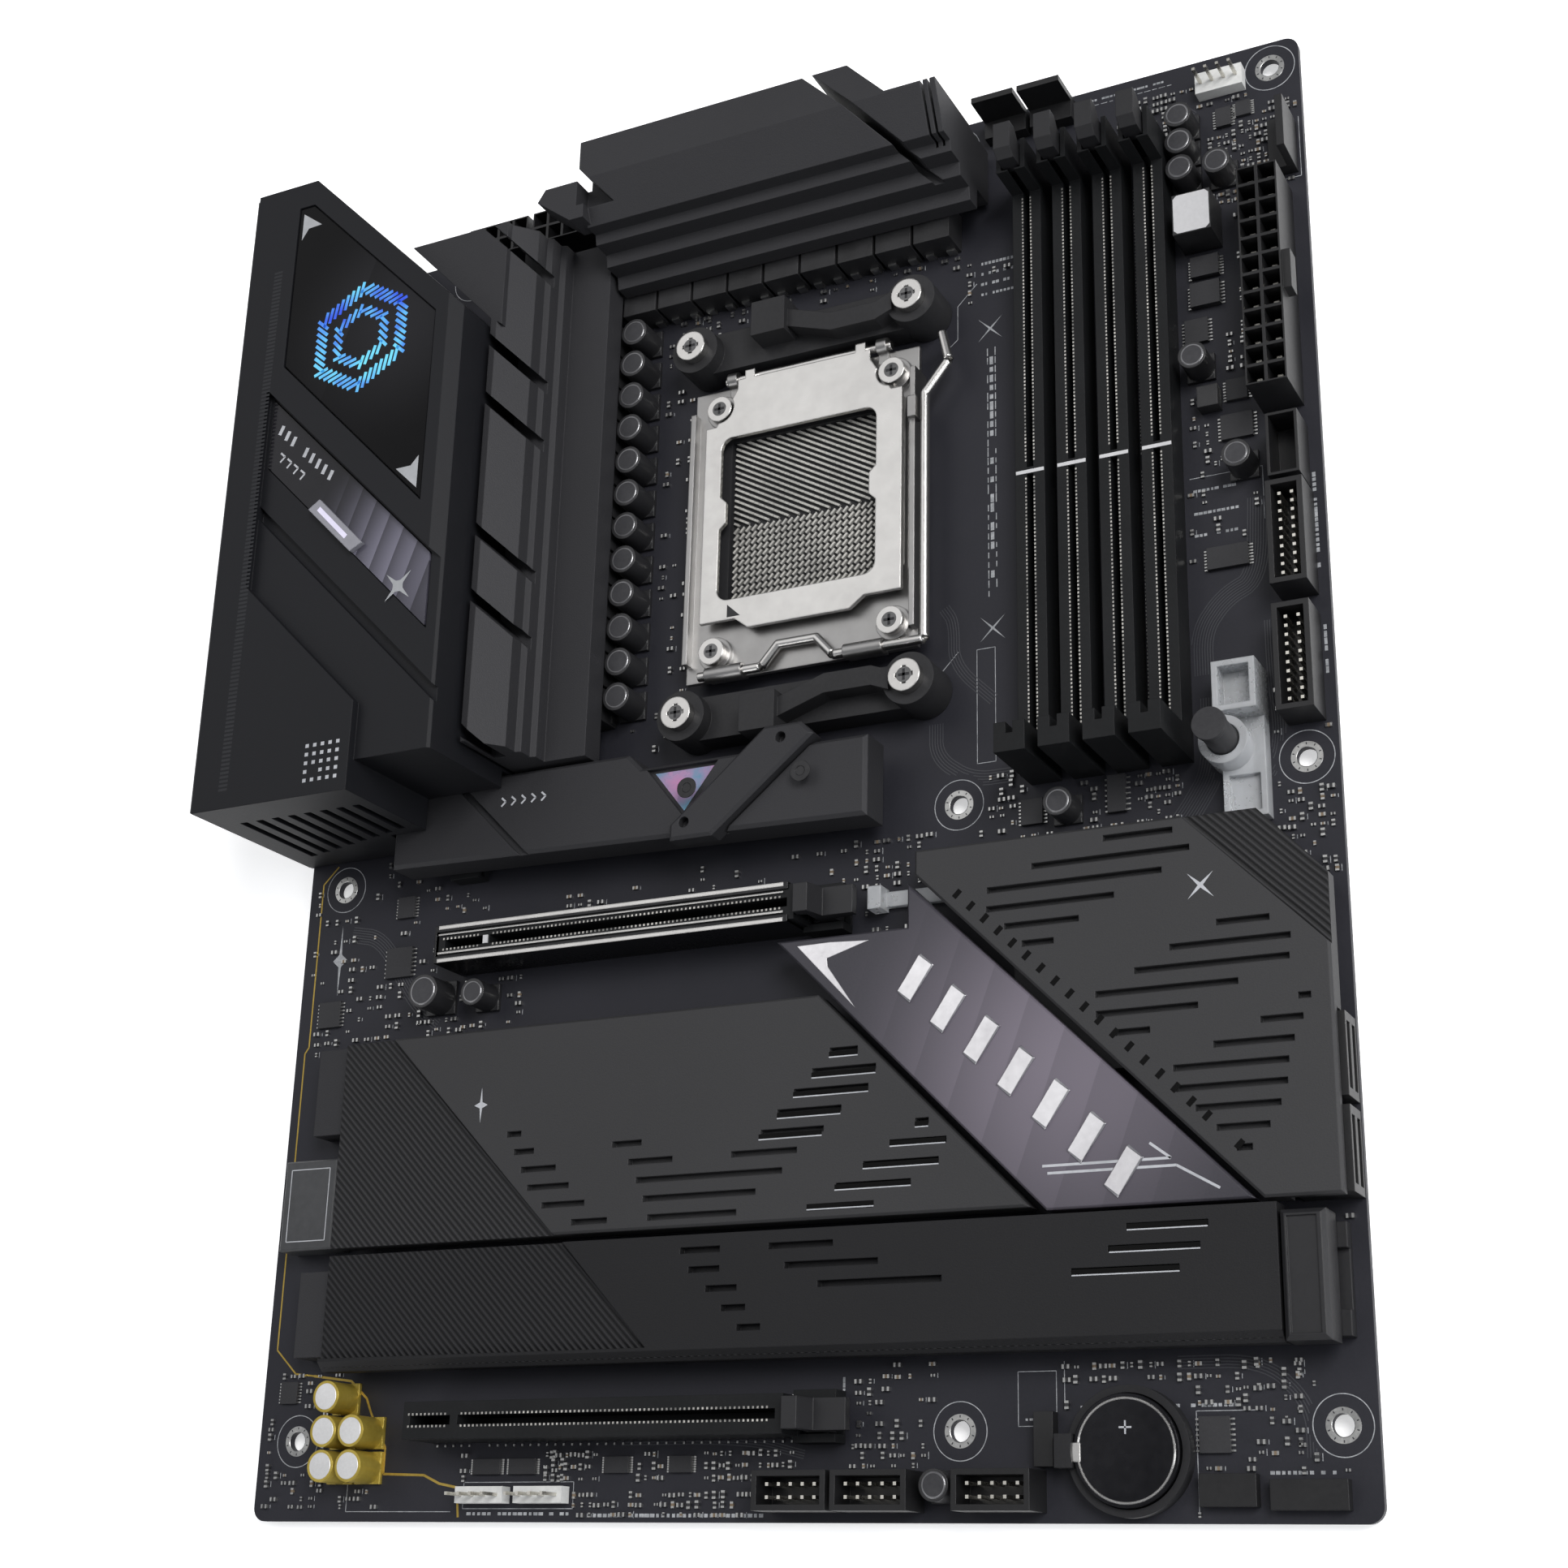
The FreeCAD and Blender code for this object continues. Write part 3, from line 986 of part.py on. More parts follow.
# ---- Drive heatsink above the upper slot: a slab with a shallow leaning groove --------------
drive_floor = cell("drive_sink_floor", 4.6)
drive_east = cell("drive_sink_east", 150.0)
drive_low = from_top(165.2)
drive_waist = cell("drive_sink_waist", 118.5)
slab = plate([[(drive_west, drive_low), (drive_east, drive_low - 2.6), (drive_east, drive_high - 3.6),
               (drive_waist, drive_high - 3.6), (drive_waist - 22, drive_high - 3.6), (drive_waist - 25.5, drive_high),
               (drive_west, drive_high)]], drive_floor, drive_top)


def slab_rim(edge):
    return at_height(drive_top)(edge)


soften(slab, "Chamfer", slab_rim, cell("drive_sink_bevel", 0.8))
strap_half = cell("strap_half_width", 5.0)
strap_low = drive_low - 3.2
strap_high = drive_high + 0.6
strap_x = cell("strap_x", 107.2)
strap_run = strap_high - strap_low


def strap_outline(margin):
    """The leaning bar across the slab, widened by a margin."""
    wide = strap_half + margin
    return [(strap_x - wide * 0.4 - margin, strap_low - margin), (strap_x + wide * 1.6, strap_low - margin),
            (strap_x + strap_run + wide * 1.8, strap_high - wide * 0.6),
            (strap_x + strap_run + wide * 1.2, strap_high + margin), (strap_x + strap_run - wide * 0.5, strap_high + margin),
            (strap_x - wide * 0.4 - margin, strap_low + wide * 0.7)]


strap_seat = plate([strap_outline(gap)], drive_top - 2.4, drive_top + 1)
groove_x = drive_west + cell("drive_groove_from_west", 13.5)
groove = plate([[(groove_x, drive_high + 1), (groove_x + 2.2, drive_high + 1), (groove_x + 22.8, drive_low - 1),
                 (groove_x + 20.6, drive_low - 1)]], drive_top - 1.0, drive_top + 1)
badge_x = drive_waist - cell("badge_from_waist", 20.5)
badge = [(badge_x, drive_high - 4.4), (badge_x + 17.4, drive_high - 4.4), (badge_x + 9.0, drive_high - 15.6)]
badge_seat = plate([badge], drive_top - 1.2, drive_top + 1)
keep(cut(slab, [strap_seat, groove, badge_seat]), "drive_heatsink_upper")
strap = plate([strap_outline(Size(0, "0"))], drive_top - 2.4, drive_top + 2.2)
soften(strap, "Chamfer", at_height(drive_top + 2.2), cell("strap_bevel", 0.7))
strap_holes = [post(strap_x + 1.6, strap_low + 3.6, drive_top, drive_top + 4, 1.2),
               post(strap_x + strap_run + 1.6, strap_high - 3.0, drive_top, drive_top + 4, 1.2)]
keep(cut(strap, strap_holes), "drive_heatsink_strap")

# ---- Lower covers: one plane of thick aluminium plates with vent slots -----------------------
deck_top = cell("deck_top", 10.2)
deck_floor = cell("deck_floor", 5.0)
seam = cell("deck_seam", 0.8)
deck_west = cell("deck_west", 21.4)
deck_low = cell("deck_low", 30.0)
deck_split = cell("deck_split", 55.2)
left_top = cell("left_cover_top", 101.0)
left_edge_x = cell("left_cover_corner_x", 138.4)
lean_left = left_top - deck_split
vent_half = cell("vent_half_width", 0.62)
vent_pitch = cell("vent_pitch", 3.86)
vent_deep = cell("vent_depth", 1.8)


def vent_rows(rows, first_y):
    """Vent slots: rows of (row number, left end, right end), counted down from first_y."""
    return [block(left, first_y - vent_pitch * row - vent_half, deck_top - vent_deep,
                  right, first_y - vent_pitch * row + vent_half, deck_top + 1) for row, left, right in rows]


def vented(base, tools, vents):
    item = doc.addObject("Part::Cut", "Cut")
    item.Base = cut(base, tools) if tools else base
    item.Tool = group(vents)
    return item


rib_floor = cell("ribbed_floor_drop", 1.2)
port_high = cell("drive_port_height", 7.8)
left_plate = plate([[(deck_west, deck_split + seam), (left_edge_x + lean_left - seam, deck_split + seam),
                     (left_edge_x, left_top), (deck_west, left_top)]], deck_floor, deck_top)
soften(left_plate, "Chamfer", at_height(deck_top), cell("deck_bevel", 0.5))
rib_x = deck_west + cell("left_ribs_top_width", 12.4)
left_ribs = plate([[(deck_west - 1, deck_split), (rib_x + lean_left, deck_split), (rib_x, left_top + 1),
                    (deck_west - 1, left_top + 1)]], deck_top - rib_floor, deck_top + 1)
left_vents = vent_rows([(0, 66.0, 69.6), (1, 68.0, 73.0), (2, 70.0, 78.6), (3, 71.8, 82.0), (4, 75.6, 86.0),
                        (5, 83.0, 91.6), (1, 92.0, 99.0), (2, 96.0, 106.4), (3, 98.0, 131.4), (4, 99.8, 125.6),
                        (5, 101.0, 121.4), (2, 119.8, 134.6), (5, 137.2, 151.4), (4, 143.2, 159.2),
                        (3, 149.0, 165.0), (2, 154.6, 166.6), (1, 126.4, 140.4), (0, 130.0, 144.2),
                        (-1, 133.6, 150.0), (-2, 137.6, 151.6), (-3, 141.4, 147.6), (1, 160.0, 162.9)],
                       deck_split + 22.4)
keep(vented(left_plate, [left_ribs], left_vents), "cover_plate_left")

sink_corner = cell("chipset_sink_corner_x", 158.8)
chip_high = cell("chipset_sink_top", 128.8)
chip_east = board_width - cell("chipset_sink_from_right", 1.4)
banner_top = cell("banner_top", 113.0)
lean_right = cell("banner_lean_x", 227.2) - sink_corner
chip_cut_x = chip_east - 13.0
chip_plate = plate([[(sink_corner + seam, chip_high), (sink_corner + seam, deck_split + lean_right),
                     (sink_corner + lean_right + seam, deck_split), (chip_east, deck_split),
                     (chip_east, chip_high - 14.0), (chip_cut_x, chip_high)]], deck_floor, deck_top)
soften(chip_plate, "Chamfer", at_height(deck_top), cell("chipset_bevel", 0.5))
corner_ribs = plate([[(chip_cut_x - 15.6, chip_high + 1), (chip_east + 1, chip_high - 29.0), (chip_east + 1, chip_high + 1)]],
                    deck_top - rib_floor, deck_top + 1)
plug = plate([[(chip_x - 2, chip_y - 2), (chip_x + 27, chip_y - 2), (chip_x + 27, chip_y + 27), (chip_x - 2, chip_y + 27)]],
             Size(2.4, "2.4"), deck_floor)
chip_vents = vent_rows([(0, 199.4, 213.4), (1, 184.6, 216.6), (2, 175.2, 211.0), (3, 175.0, 201.4), (4, 178.8, 194.2),
                        (5, 182.4, 189.0), (5, 221.2, 231.4), (6, 212.0, 235.2), (7, 205.0, 234.8), (8, 197.2, 225.0),
                        (9, 197.2, 217.2), (10, 200.8, 207.8), (9, 236.0, 238.4), (10, 228.8, 236.8),
                        (11, 219.8, 235.0), (12, 212.0, 233.8), (13, 212.4, 233.4), (14, 216.0, 232.0),
                        (15, 219.8, 229.8), (16, 223.4, 226.4)], chip_high - 2.6)
port_room = block(board_width - 11.6, deck_split - 1, 0, board_width + 1, deck_split + 34.0, port_high + gap)
keep(vented(fuse([chip_plate, plug]), [corner_ribs, port_room], chip_vents), "chipset_heatsink")

banner_rise = banner_top - deck_split
banner_gap = cell("banner_gap", 2.4)
banner_x = left_edge_x + lean_left + banner_gap
banner = plate([[(banner_x, deck_split), (sink_corner + lean_right - seam, deck_split),
                 (sink_corner - seam, deck_split + lean_right - seam * 2), (sink_corner - seam, banner_top),
                 (banner_x - banner_rise, banner_top)]], deck_floor + gap, deck_top - 0.2)
soften(banner, "Chamfer", at_height(deck_top - 0.2), cell("banner_bevel", 0.4))
keep(banner, "banner_plate")

lower_east = board_width - cell("lower_sink_from_right", 13.64)
lower_plate = plate([rectangle(deck_west, deck_low, lower_east, deck_split - seam)], deck_floor, deck_top)
soften(lower_plate, "Chamfer", lambda edge: at_height(deck_top)(edge) and
       all(abs(v.Point.y - value_of(deck_low)) < 1e-6 for v in edge.Vertexes), cell("lower_sink_bevel", 2.0))
lower_ribs = plate([[(deck_west - 1, deck_low + 2.6), (deck_west + 80.4, deck_low + 2.6), (deck_west + 59.0, deck_split),
                     (deck_west - 1, deck_split)]], deck_top - rib_floor, deck_top + 1)
lower_vents = vent_rows([(0, 109.0, 118.0), (1, 111.0, 118.0), (2, 115.0, 122.0), (3, 118.6, 124.0), (4, 122.2, 127.4),
                         (0, 128.8, 142.8), (1, 132.4, 152.4), (2, 139.6, 165.6), (0, 202.2, 217.6),
                         (1, 198.6, 216.0), (2, 191.4, 212.0)], deck_split - 3.9)
keep(vented(lower_plate, [lower_ribs], lower_vents), "drive_heatsink_lower")

# ---- Release latch at the lower heatsink's end: a textured pad that slides outward ----------
release_travel = cell("heatsink_latch_travel", 1.6)
latch_west = lower_east + gap * 2
latch_east = latch_west + cell("heatsink_latch_length", 8.2)
base_rail = block(latch_west + 0.6, deck_low + 1.4, 0, latch_east + 1.8, deck_split - 3.8, 3.2)
guide = block(latch_west + 0.5, deck_low + 6.0, 1.6, latch_east + 2.0, deck_split - 8.4, 4.2)
keep(cut(base_rail, [guide]), "heatsink_latch_rail")
pad_body = plate([rectangle(latch_west, deck_low, latch_east, deck_split - 2.4)], Size(3.5, "3.5"), deck_top + 0.8)
soften(pad_body, "Chamfer", at_height(deck_top + 0.8), cell("heatsink_latch_bevel", 0.8))
dish = plate([rectangle(latch_west + 1.2, deck_low + 1.2, latch_east - 1.6, deck_split - 3.6)], deck_top + 0.4, deck_top + 2)
runner = block(latch_west + 1.0, deck_low + 6.3, 1.9, latch_east - 1.0, deck_split - 8.7, 3.9)
keep(fuse([cut(pad_body, [dish]), runner]), "heatsink_latch")

# ---- Drive sockets: the edge connectors that lie under the heatsinks -------------------------
drive_rows = [(drive_west + 10, (drive_low + drive_high) / 2), (deck_west + 8, deck_split + 26.0), (deck_west + 8, deck_low + 13.0)]
edge_sockets = []
for x, y in drive_rows:
    shell = block(x, y - 10.6, 0, x + 7.6, y + 10.6, 4.2)
    edge_sockets.append(cut(shell, [block(x + 2.0, y - 10.0, 1.8, x + 8.6, y + 10.0, 3.0)]))
keep(group(edge_sockets), "drive_sockets")

# ---- Drive latches: small cams that turn over a drive's end notch ---------------------------
for number, (x, y) in enumerate(drive_rows):
    seat_x = x + 6.0 + cell("drive_length_%d" % (number + 1), 80.0)
    hub = post(seat_x + 3.0, y, 0.2, 3.4, 2.6)
    flag = block(seat_x - 0.6, y - 1.2, 2.4, seat_x + 3.0, y + 1.2, 3.4)
    keep(fuse([hub, flag]), "drive_latch_%d" % (number + 1))

# ---- Board headers: fan, lighting, front-panel and drive connectors -------------------------
headers = []


def pin_header(x0, y0, x1, y1, height, wall):
    """An open-topped shroud with a floor; its pins stand inside."""
    shell = block(x0, y0, 0, x1, y1, height)
    return cut(shell, [block(x0 + wall, y0 + wall, 2.0, x1 - wall, y1 - wall, height + 1)])


east = board_width
shrouds = [pin_header(east - 9.6, from_top(130.6), east - 2.2, from_top(108.4), 9.0, 1.1),
           pin_header(east - 9.6, from_top(157.0), east - 2.2, from_top(134.8), 9.0, 1.1),
           pin_header(125.6, 1.8, 141.2, 9.2, 8.8, 1.1), pin_header(142.2, 1.8, 157.8, 9.2, 8.8, 1.1),
           pin_header(166.8, 1.8, 182.2, 9.2, 8.8, 1.1)]
keep(group(shrouds), "box_headers")
for x in (173.0, 183.8):
    headers.append(block(x, from_top(7.4), 0, x + 9.8, from_top(1.8), 3.2))
    headers.append(block(x, from_top(3.2), 3.2, x + 9.8, from_top(1.8), 11.2))
headers.append(block(east - 6.8, from_top(33.8), 0, east - 1.4, from_top(21.6), 3.2))
headers.append(block(east - 3.0, from_top(33.8), 3.2, east - 1.4, from_top(21.6), 11.2))
headers.append(block(east - 22.0, from_top(10.2), 0, east - 11.8, from_top(5.2), 3.0))
headers += [block(x, 3.6, 0, x + 11.4, 6.8, 3.0) for x in (54.0, 68.2)]
headers.append(block(180.8, 9.8, 0, 184.6, 19.6, 2.8))
headers.append(block(211.8, 2.8, 0, 222.2, 8.4, 2.6))
headers.append(block(224.6, 2.2, 0, 238.4, 7.4, 2.6))
keep(group(headers), "pin_headers")
front_low, front_high = from_top(108.0 - 0.8), from_top(93.4)
front_shell = block(east - 9.0, front_low, 0, east - 2.6, front_high, 8.6)
keep(cut(front_shell, [block(east - 8.4, front_low + 0.6, 1.2, east - 3.2, front_high - 0.6, 9.6)]), "front_usb_header")

sata = []
for low in (deck_split + 0.6, deck_split + 17.8):
    shell = block(east - 11.0, low, 0, east - 0.1, low + 15.6, port_high)
    mouths = [block(east - 8.0, low + 1.6, z, east + 1, low + 14.0, z + 2.2) for z in (0.9, 4.7)]
    tongues = [block(east - 9.0, low + 3.0, z + 0.2, east - 1.0, low + 12.6, z + 1.2) for z in (0.9, 4.7)]
    sata.append(fuse([cut(shell, mouths)] + tongues))
keep(group(sata), "drive_ports")

# ---- Audio shield can and the moulded blocks along the left edge ----------------------------
can_west, can_east = cell("audio_can_west", 5.6), cell("audio_can_east", 19.6)
can_top = cell("audio_can_height", 6.8)
can = plate([rectangle(can_west, deck_split + 1.2, can_east, deck_split + 21.0)], Size(0.1, "0.1"), can_top)
soften(can, "Chamfer", at_height(can_top), cell("audio_can_bevel", 0.4))
keep(can, "audio_shield")
side_blocks = [block(can_east - 7.6, left_top - 19.4, 0, can_east, left_top, 6.4),
               block(can_east - 7.6, deck_low + 3.4, 0, can_east, deck_low + 21.6, 6.4)]
keep(group(side_blocks), "cover_end_blocks")

# ---- Coin cell in its holder -----------------------------------------------------------------
coin_x, coin_y = cell("coin_x", 199.1), cell("coin_y", 12.4)
coin_radius = cell("coin_radius", 10.0)
coin_thick = cell("coin_thick", 3.2)
coin_floor = cell("coin_floor", 1.4)
holder = fuse([post(coin_x, coin_y, 0, 3.4, coin_radius + 1.6), block(coin_x - coin_radius - 3.4, coin_y - 3, 0,
                                                                     coin_x - coin_radius, coin_y + 3, 5.4)])
keep(cut(holder, [post(coin_x, coin_y, coin_floor, 6, coin_radius + running * 4)]), "coin_cell_holder")
crown = post(coin_x, coin_y, coin_floor, coin_floor + coin_thick, coin_radius)
base = post(coin_x, coin_y, coin_floor, coin_floor + coin_thick * 0.3, coin_radius - 0.6)
keep(fuse([base, crown]), "coin_cell")

# ---- Slot release: a housing with a plunger that pulls the upper slot's latch by a rod -------
release_x = board_width - cell("release_from_right", 20.4)
release_y = from_top(161.0)
plunger = cell("plunger_radius", 3.0)
plunger_top = cell("plunger_top", 17.6)
plunger_travel = cell("plunger_travel", 2.0)
barrel = cell("barrel_radius", 4.9)
barrel_top = cell("barrel_top", 8.4)
house_west, house_east = release_x - 1.6, release_x + 7.0
house = fuse([block(house_west, release_y - 14.6, 0, house_east, release_y + 16.0, 3.6),
              block(house_west, release_y + 5.6, 0, house_east, release_y + 16.0, 9.0),
              post(release_x, release_y, 0, barrel_top, barrel)])
well_floor = cell("release_well_floor", 2.6)
house_tools = [post(release_x, release_y, well_floor, barrel_top + 1, plunger + gap),
               block(house_west + 1.2, release_y + 6.8, 5.0, house_east - 1.2, release_y + 14.8, 10.0),
               block(house_west + 1.2, release_y - 13.4, 2.2, house_east - 1.2, release_y - 6.0, 5.0),
               block(release_x - 1.6, release_y - 15.6, -1, release_x + 4.0, release_y - 1.0, 1.9)]
keep(cut(house, house_tools), "slot_release_housing")
button = fuse([post(release_x, release_y, well_floor + plunger_travel + gap, plunger_top, plunger),
               post(release_x, release_y, plunger_top - 1.2, plunger_top, plunger + 0.35)])
keep(button, "slot_release_button")
rod_y = upper_y + cell("rod_above_slot", 1.0)
rod_end = slot_right + nose_long + cell("rod_from_nose", 5.4)
leg_x = release_x + 0.2
rod = fuse([block(rod_end, rod_y - 1.6, 0.3, leg_x, rod_y + 1.6, 1.6),
            block(leg_x - 1.2, rod_y - 1.6, 0.3, leg_x + 1.2, release_y - 4.0, 1.6),
            block(rod_end, rod_y - 2.4, 0.3, rod_end + 3.0, rod_y + 2.4, 4.4)])
keep(rod, "slot_release_rod")

# ---- Heatsink screws from the underside ------------------------------------------------------
sink_screws = []
under_head = cell("under_head_height", 1.4)
for x, y in ((66.6, from_top(140.0)), (66.6, from_top(26.0)), (88.0, from_top(14.6)), (168.0, from_top(14.6)),
             (40.0, deck_split + 8.0), (126.0, deck_split + 38.0), (170.0, deck_split + 62.0), (232.0, deck_split + 40.0),
             (30.0, deck_low + 20.0), (222.0, deck_low + 6.0)):
    sink_screws.append(post(x, y, under - under_head, under, 2.6))
keep(group(sink_screws), "heatsink_screws")

# ---- Frame: origin at the middle of the footprint, at the lowest point ----------------------
middle_x = (board_width + aerial_west) / 2
middle_y = cover_north / 2
for item in kept:
    put(item, -middle_x, -middle_y, -lowest)
doc.recompute()

for item in doc.Objects:
    if "Invalid" in item.State or "Error" in item.State:
        raise RuntimeError("%s (%s) did not build: %s" % (item.Name, item.Label, item.State))
os.makedirs("parts", exist_ok=True)
whole = FreeCAD.BoundBox()
for item in kept:
    shape = item.Shape
    if shape.isNull() or not shape.isValid():
        raise RuntimeError(item.Label + " has no valid shape")
    whole.add(shape.BoundBox)
    shape.exportStep("parts/%s.step" % item.Label)
print(len(kept), "sub-parts;", whole)
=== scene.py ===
import bpy
import numpy as np
from mathutils import Matrix, Vector


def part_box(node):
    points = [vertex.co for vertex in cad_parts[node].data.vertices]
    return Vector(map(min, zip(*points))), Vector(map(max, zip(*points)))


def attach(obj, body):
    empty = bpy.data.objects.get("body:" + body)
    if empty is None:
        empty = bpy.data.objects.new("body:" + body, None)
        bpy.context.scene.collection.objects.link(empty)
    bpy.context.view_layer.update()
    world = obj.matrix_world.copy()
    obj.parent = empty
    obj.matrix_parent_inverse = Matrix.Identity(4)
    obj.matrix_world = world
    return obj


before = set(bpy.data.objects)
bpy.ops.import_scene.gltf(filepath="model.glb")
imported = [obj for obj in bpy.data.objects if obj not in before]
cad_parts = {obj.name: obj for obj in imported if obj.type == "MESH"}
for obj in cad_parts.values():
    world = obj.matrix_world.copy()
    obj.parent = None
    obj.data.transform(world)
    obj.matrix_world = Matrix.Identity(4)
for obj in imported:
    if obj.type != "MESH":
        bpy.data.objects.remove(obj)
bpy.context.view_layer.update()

# ---- Studio -------------------------------------------------------------------------------
# A pale table under soft boxes, and the camera that looks down on the lower right corner.
# The board lies flat, rolled a little to the right, and is seen from about 55 degrees up.
camera_place = (0.225892, -0.172267, 0.428558)
camera_right = (0.89174947, 0.02301464, -0.45194382)
camera_up = (0.13246864, 0.94168196, 0.30933338)
camera_back = (0.43270654, -0.33571626, 0.83669567)
camera_lens_mm = 54.40

eye = bpy.data.cameras.new("studio_camera")
eye.lens = camera_lens_mm
eye.sensor_width = 36.0
eye.clip_start = 0.01
eye.clip_end = 50.0
camera = bpy.data.objects.new("studio_camera", eye)
bpy.context.collection.objects.link(camera)
turn = Matrix((camera_right, camera_up, camera_back)).transposed()
camera.matrix_world = Matrix.Translation(camera_place) @ turn.to_4x4()
bpy.context.scene.camera = camera
bpy.context.scene.view_settings.view_transform = "Standard"


def soft_box(name, place, target, size, watts, colour):
    """A square soft light at place, facing target."""
    lamp = bpy.data.lights.new(name, "AREA")
    lamp.shape = "RECTANGLE"
    lamp.size, lamp.size_y = size
    lamp.energy = watts
    lamp.color = colour
    holder = bpy.data.objects.new(name, lamp)
    bpy.context.collection.objects.link(holder)
    holder.location = place
    holder.rotation_mode = "QUATERNION"
    holder.rotation_quaternion = (Vector(target) - Vector(place)).to_track_quat("-Z", "Y")


soft_box("window_light", (-0.9, 0.7, 1.5), (0, 0, 0), (1.5, 1.5), 6.0, (1.0, 0.99, 0.98))
soft_box("overhead_light", (0.85, 0.35, 1.25), (0, 0, 0), (0.7, 0.7), 19.0, (1.0, 0.99, 0.98))
soft_box("side_light", (1.3, -0.3, 0.5), (0, 0, 0), (0.4, 1.0), 7.0, (0.97, 0.98, 1.0))
soft_box("front_light", (-0.9, -1.2, 0.8), (0, 0, 0), (0.9, 0.4), 3.5, (1.0, 1.0, 1.0))

world = bpy.data.worlds.new("studio_air")
bpy.context.scene.world = world
world.use_nodes = True
world.node_tree.nodes["Background"].inputs["Color"].default_value = (0.93, 0.95, 1.0, 1)
world.node_tree.nodes["Background"].inputs["Strength"].default_value = 0.3


def link(tree, out, into):
    """Joins two sockets, each given as (node, socket name)."""
    tree.links.new(out[0].outputs[out[1]], into[0].inputs[into[1]])


def add(tree, kind, inputs, **fields):
    """A shader node: an input is a constant, set on its socket, or a (node, socket) pair that is linked to it."""
    node = tree.nodes.new("ShaderNode" + kind)
    for field, value in fields.items():
        setattr(node, field, value)
    for socket, value in inputs.items():
        if isinstance(value, tuple) and len(value) == 2:
            link(tree, value, (node, socket))
        else:
            node.inputs[socket].default_value = value
    return node


def number(tree, kind, *values):
    """A Math node of that kind; each value is a number or a (node, socket) pair."""
    return (add(tree, "Math", dict(enumerate(values)), operation=kind), "Value")


def new_group(name, inputs, outputs):
    """An empty shader group with its sockets: inputs and outputs are (name, kind) pairs."""
    group = bpy.data.node_groups.new(name, "ShaderNodeTree")
    for title, kind in inputs:
        group.interface.new_socket(title, in_out="INPUT", socket_type="NodeSocket" + kind)
    for title, kind in outputs:
        group.interface.new_socket(title, in_out="OUTPUT", socket_type="NodeSocket" + kind)
    return group, group.nodes.new("NodeGroupInput"), group.nodes.new("NodeGroupOutput")


def blend_colour(tree, share, first, second):
    """A colour Mix node: first where share is 0, second where it is 1."""
    first, second = [colour if len(colour) == 2 else (*colour, 1) for colour in (first, second)]
    return add(tree, "Mix", {0: share, 6: first, 7: second}, data_type="RGBA")


def grain_group():
    """Shader group: fine noise for pores plus slow noise for shade, mixed between two colours.

    Tone = 0.65 slow noise + 0.35 fine noise, stretched about its middle by Contrast;
    Colour runs Dark to Light with Tone, Roughness runs Smooth to Rough, Height is the fine noise.
    """
    group, enter, leave = new_group("surface_grain", (("Vector", "Vector"), ("Fine", "Float"), ("Slow", "Float"),
        ("Contrast", "Float"), ("Dark", "Color"), ("Light", "Color"), ("Smooth", "Float"), ("Rough", "Float")),
        (("Colour", "Color"), ("Roughness", "Float"), ("Height", "Float")))
    fine, slow = [add(group, "TexNoise", {"Vector": (enter, "Vector"), "Scale": (enter, scale), "Detail": detail})
        for scale, detail in (("Fine", 3.0), ("Slow", 5.0))]
    both = number(group, "ADD", number(group, "MULTIPLY", (slow, 0), 0.65),
        number(group, "MULTIPLY", (fine, 0), 0.35))
    centred = number(group, "MULTIPLY", number(group, "SUBTRACT", both, 0.5), (enter, "Contrast"))
    tone = (add(group, "Clamp", {"Value": number(group, "ADD", centred, 0.5)}), "Result")
    blend = blend_colour(group, tone, (enter, "Dark"), (enter, "Light"))
    spread = add(group, "MapRange", {"Value": tone, "To Min": (enter, "Smooth"), "To Max": (enter, "Rough")})
    for pair, title in (((blend, 2), "Colour"), ((spread, "Result"), "Roughness"), ((fine, 0), "Height")):
        link(group, pair, (leave, title))
    return group


surface_grain = grain_group()


def finish(name, dark, light, rough=(0.4, 0.6), metallic=0.0, fine=900.0, slow=25.0, contrast=2.0, pores=0.15,
    depth=0.00004, edge=0.00015, transmission=0.0, specular=0.2, glow=0.0):
    """A material from the grain group; edge is the radius in metres that corners catch light on."""
    material = bpy.data.materials.new(name)
    material.use_nodes = True
    tree = material.node_tree
    shader = tree.nodes["Principled BSDF"]
    coords = add(tree, "TexCoord", {}, name="coords")
    grain = add(tree, "Group", {"Vector": (coords, "Object"), "Fine": fine, "Slow": slow, "Contrast": contrast,
        "Dark": (*dark, 1), "Light": (*light, 1), "Smooth": rough[0], "Rough": rough[1]}, node_tree=surface_grain,
        name="grain")
    bump = add(tree, "Bump", {"Strength": pores, "Distance": depth, "Height": (grain, "Height")}, name="relief")
    if edge:
        link(tree, (add(tree, "Bevel", {"Radius": edge}, samples=4), "Normal"), (bump, "Normal"))
    for source, socket in (((grain, "Colour"), "Base Color"), ((grain, "Roughness"), "Roughness"),
        ((bump, "Normal"), "Normal")):
        link(tree, source, (shader, socket))
    for socket, value in (("Metallic", metallic), ("Transmission Weight", transmission),
        ("Specular IOR Level", specular), ("Emission Strength", glow)):
        shader.inputs[socket].default_value = value
    if glow:
        link(tree, (grain, "Colour"), (shader, "Emission Color"))
    return material


def coat_node(material, *nodes):
    """Gives carried-over CAD nodes their finish."""
    for node in nodes:
        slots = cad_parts[node].data.materials
        slots.clear()
        slots.append(material)


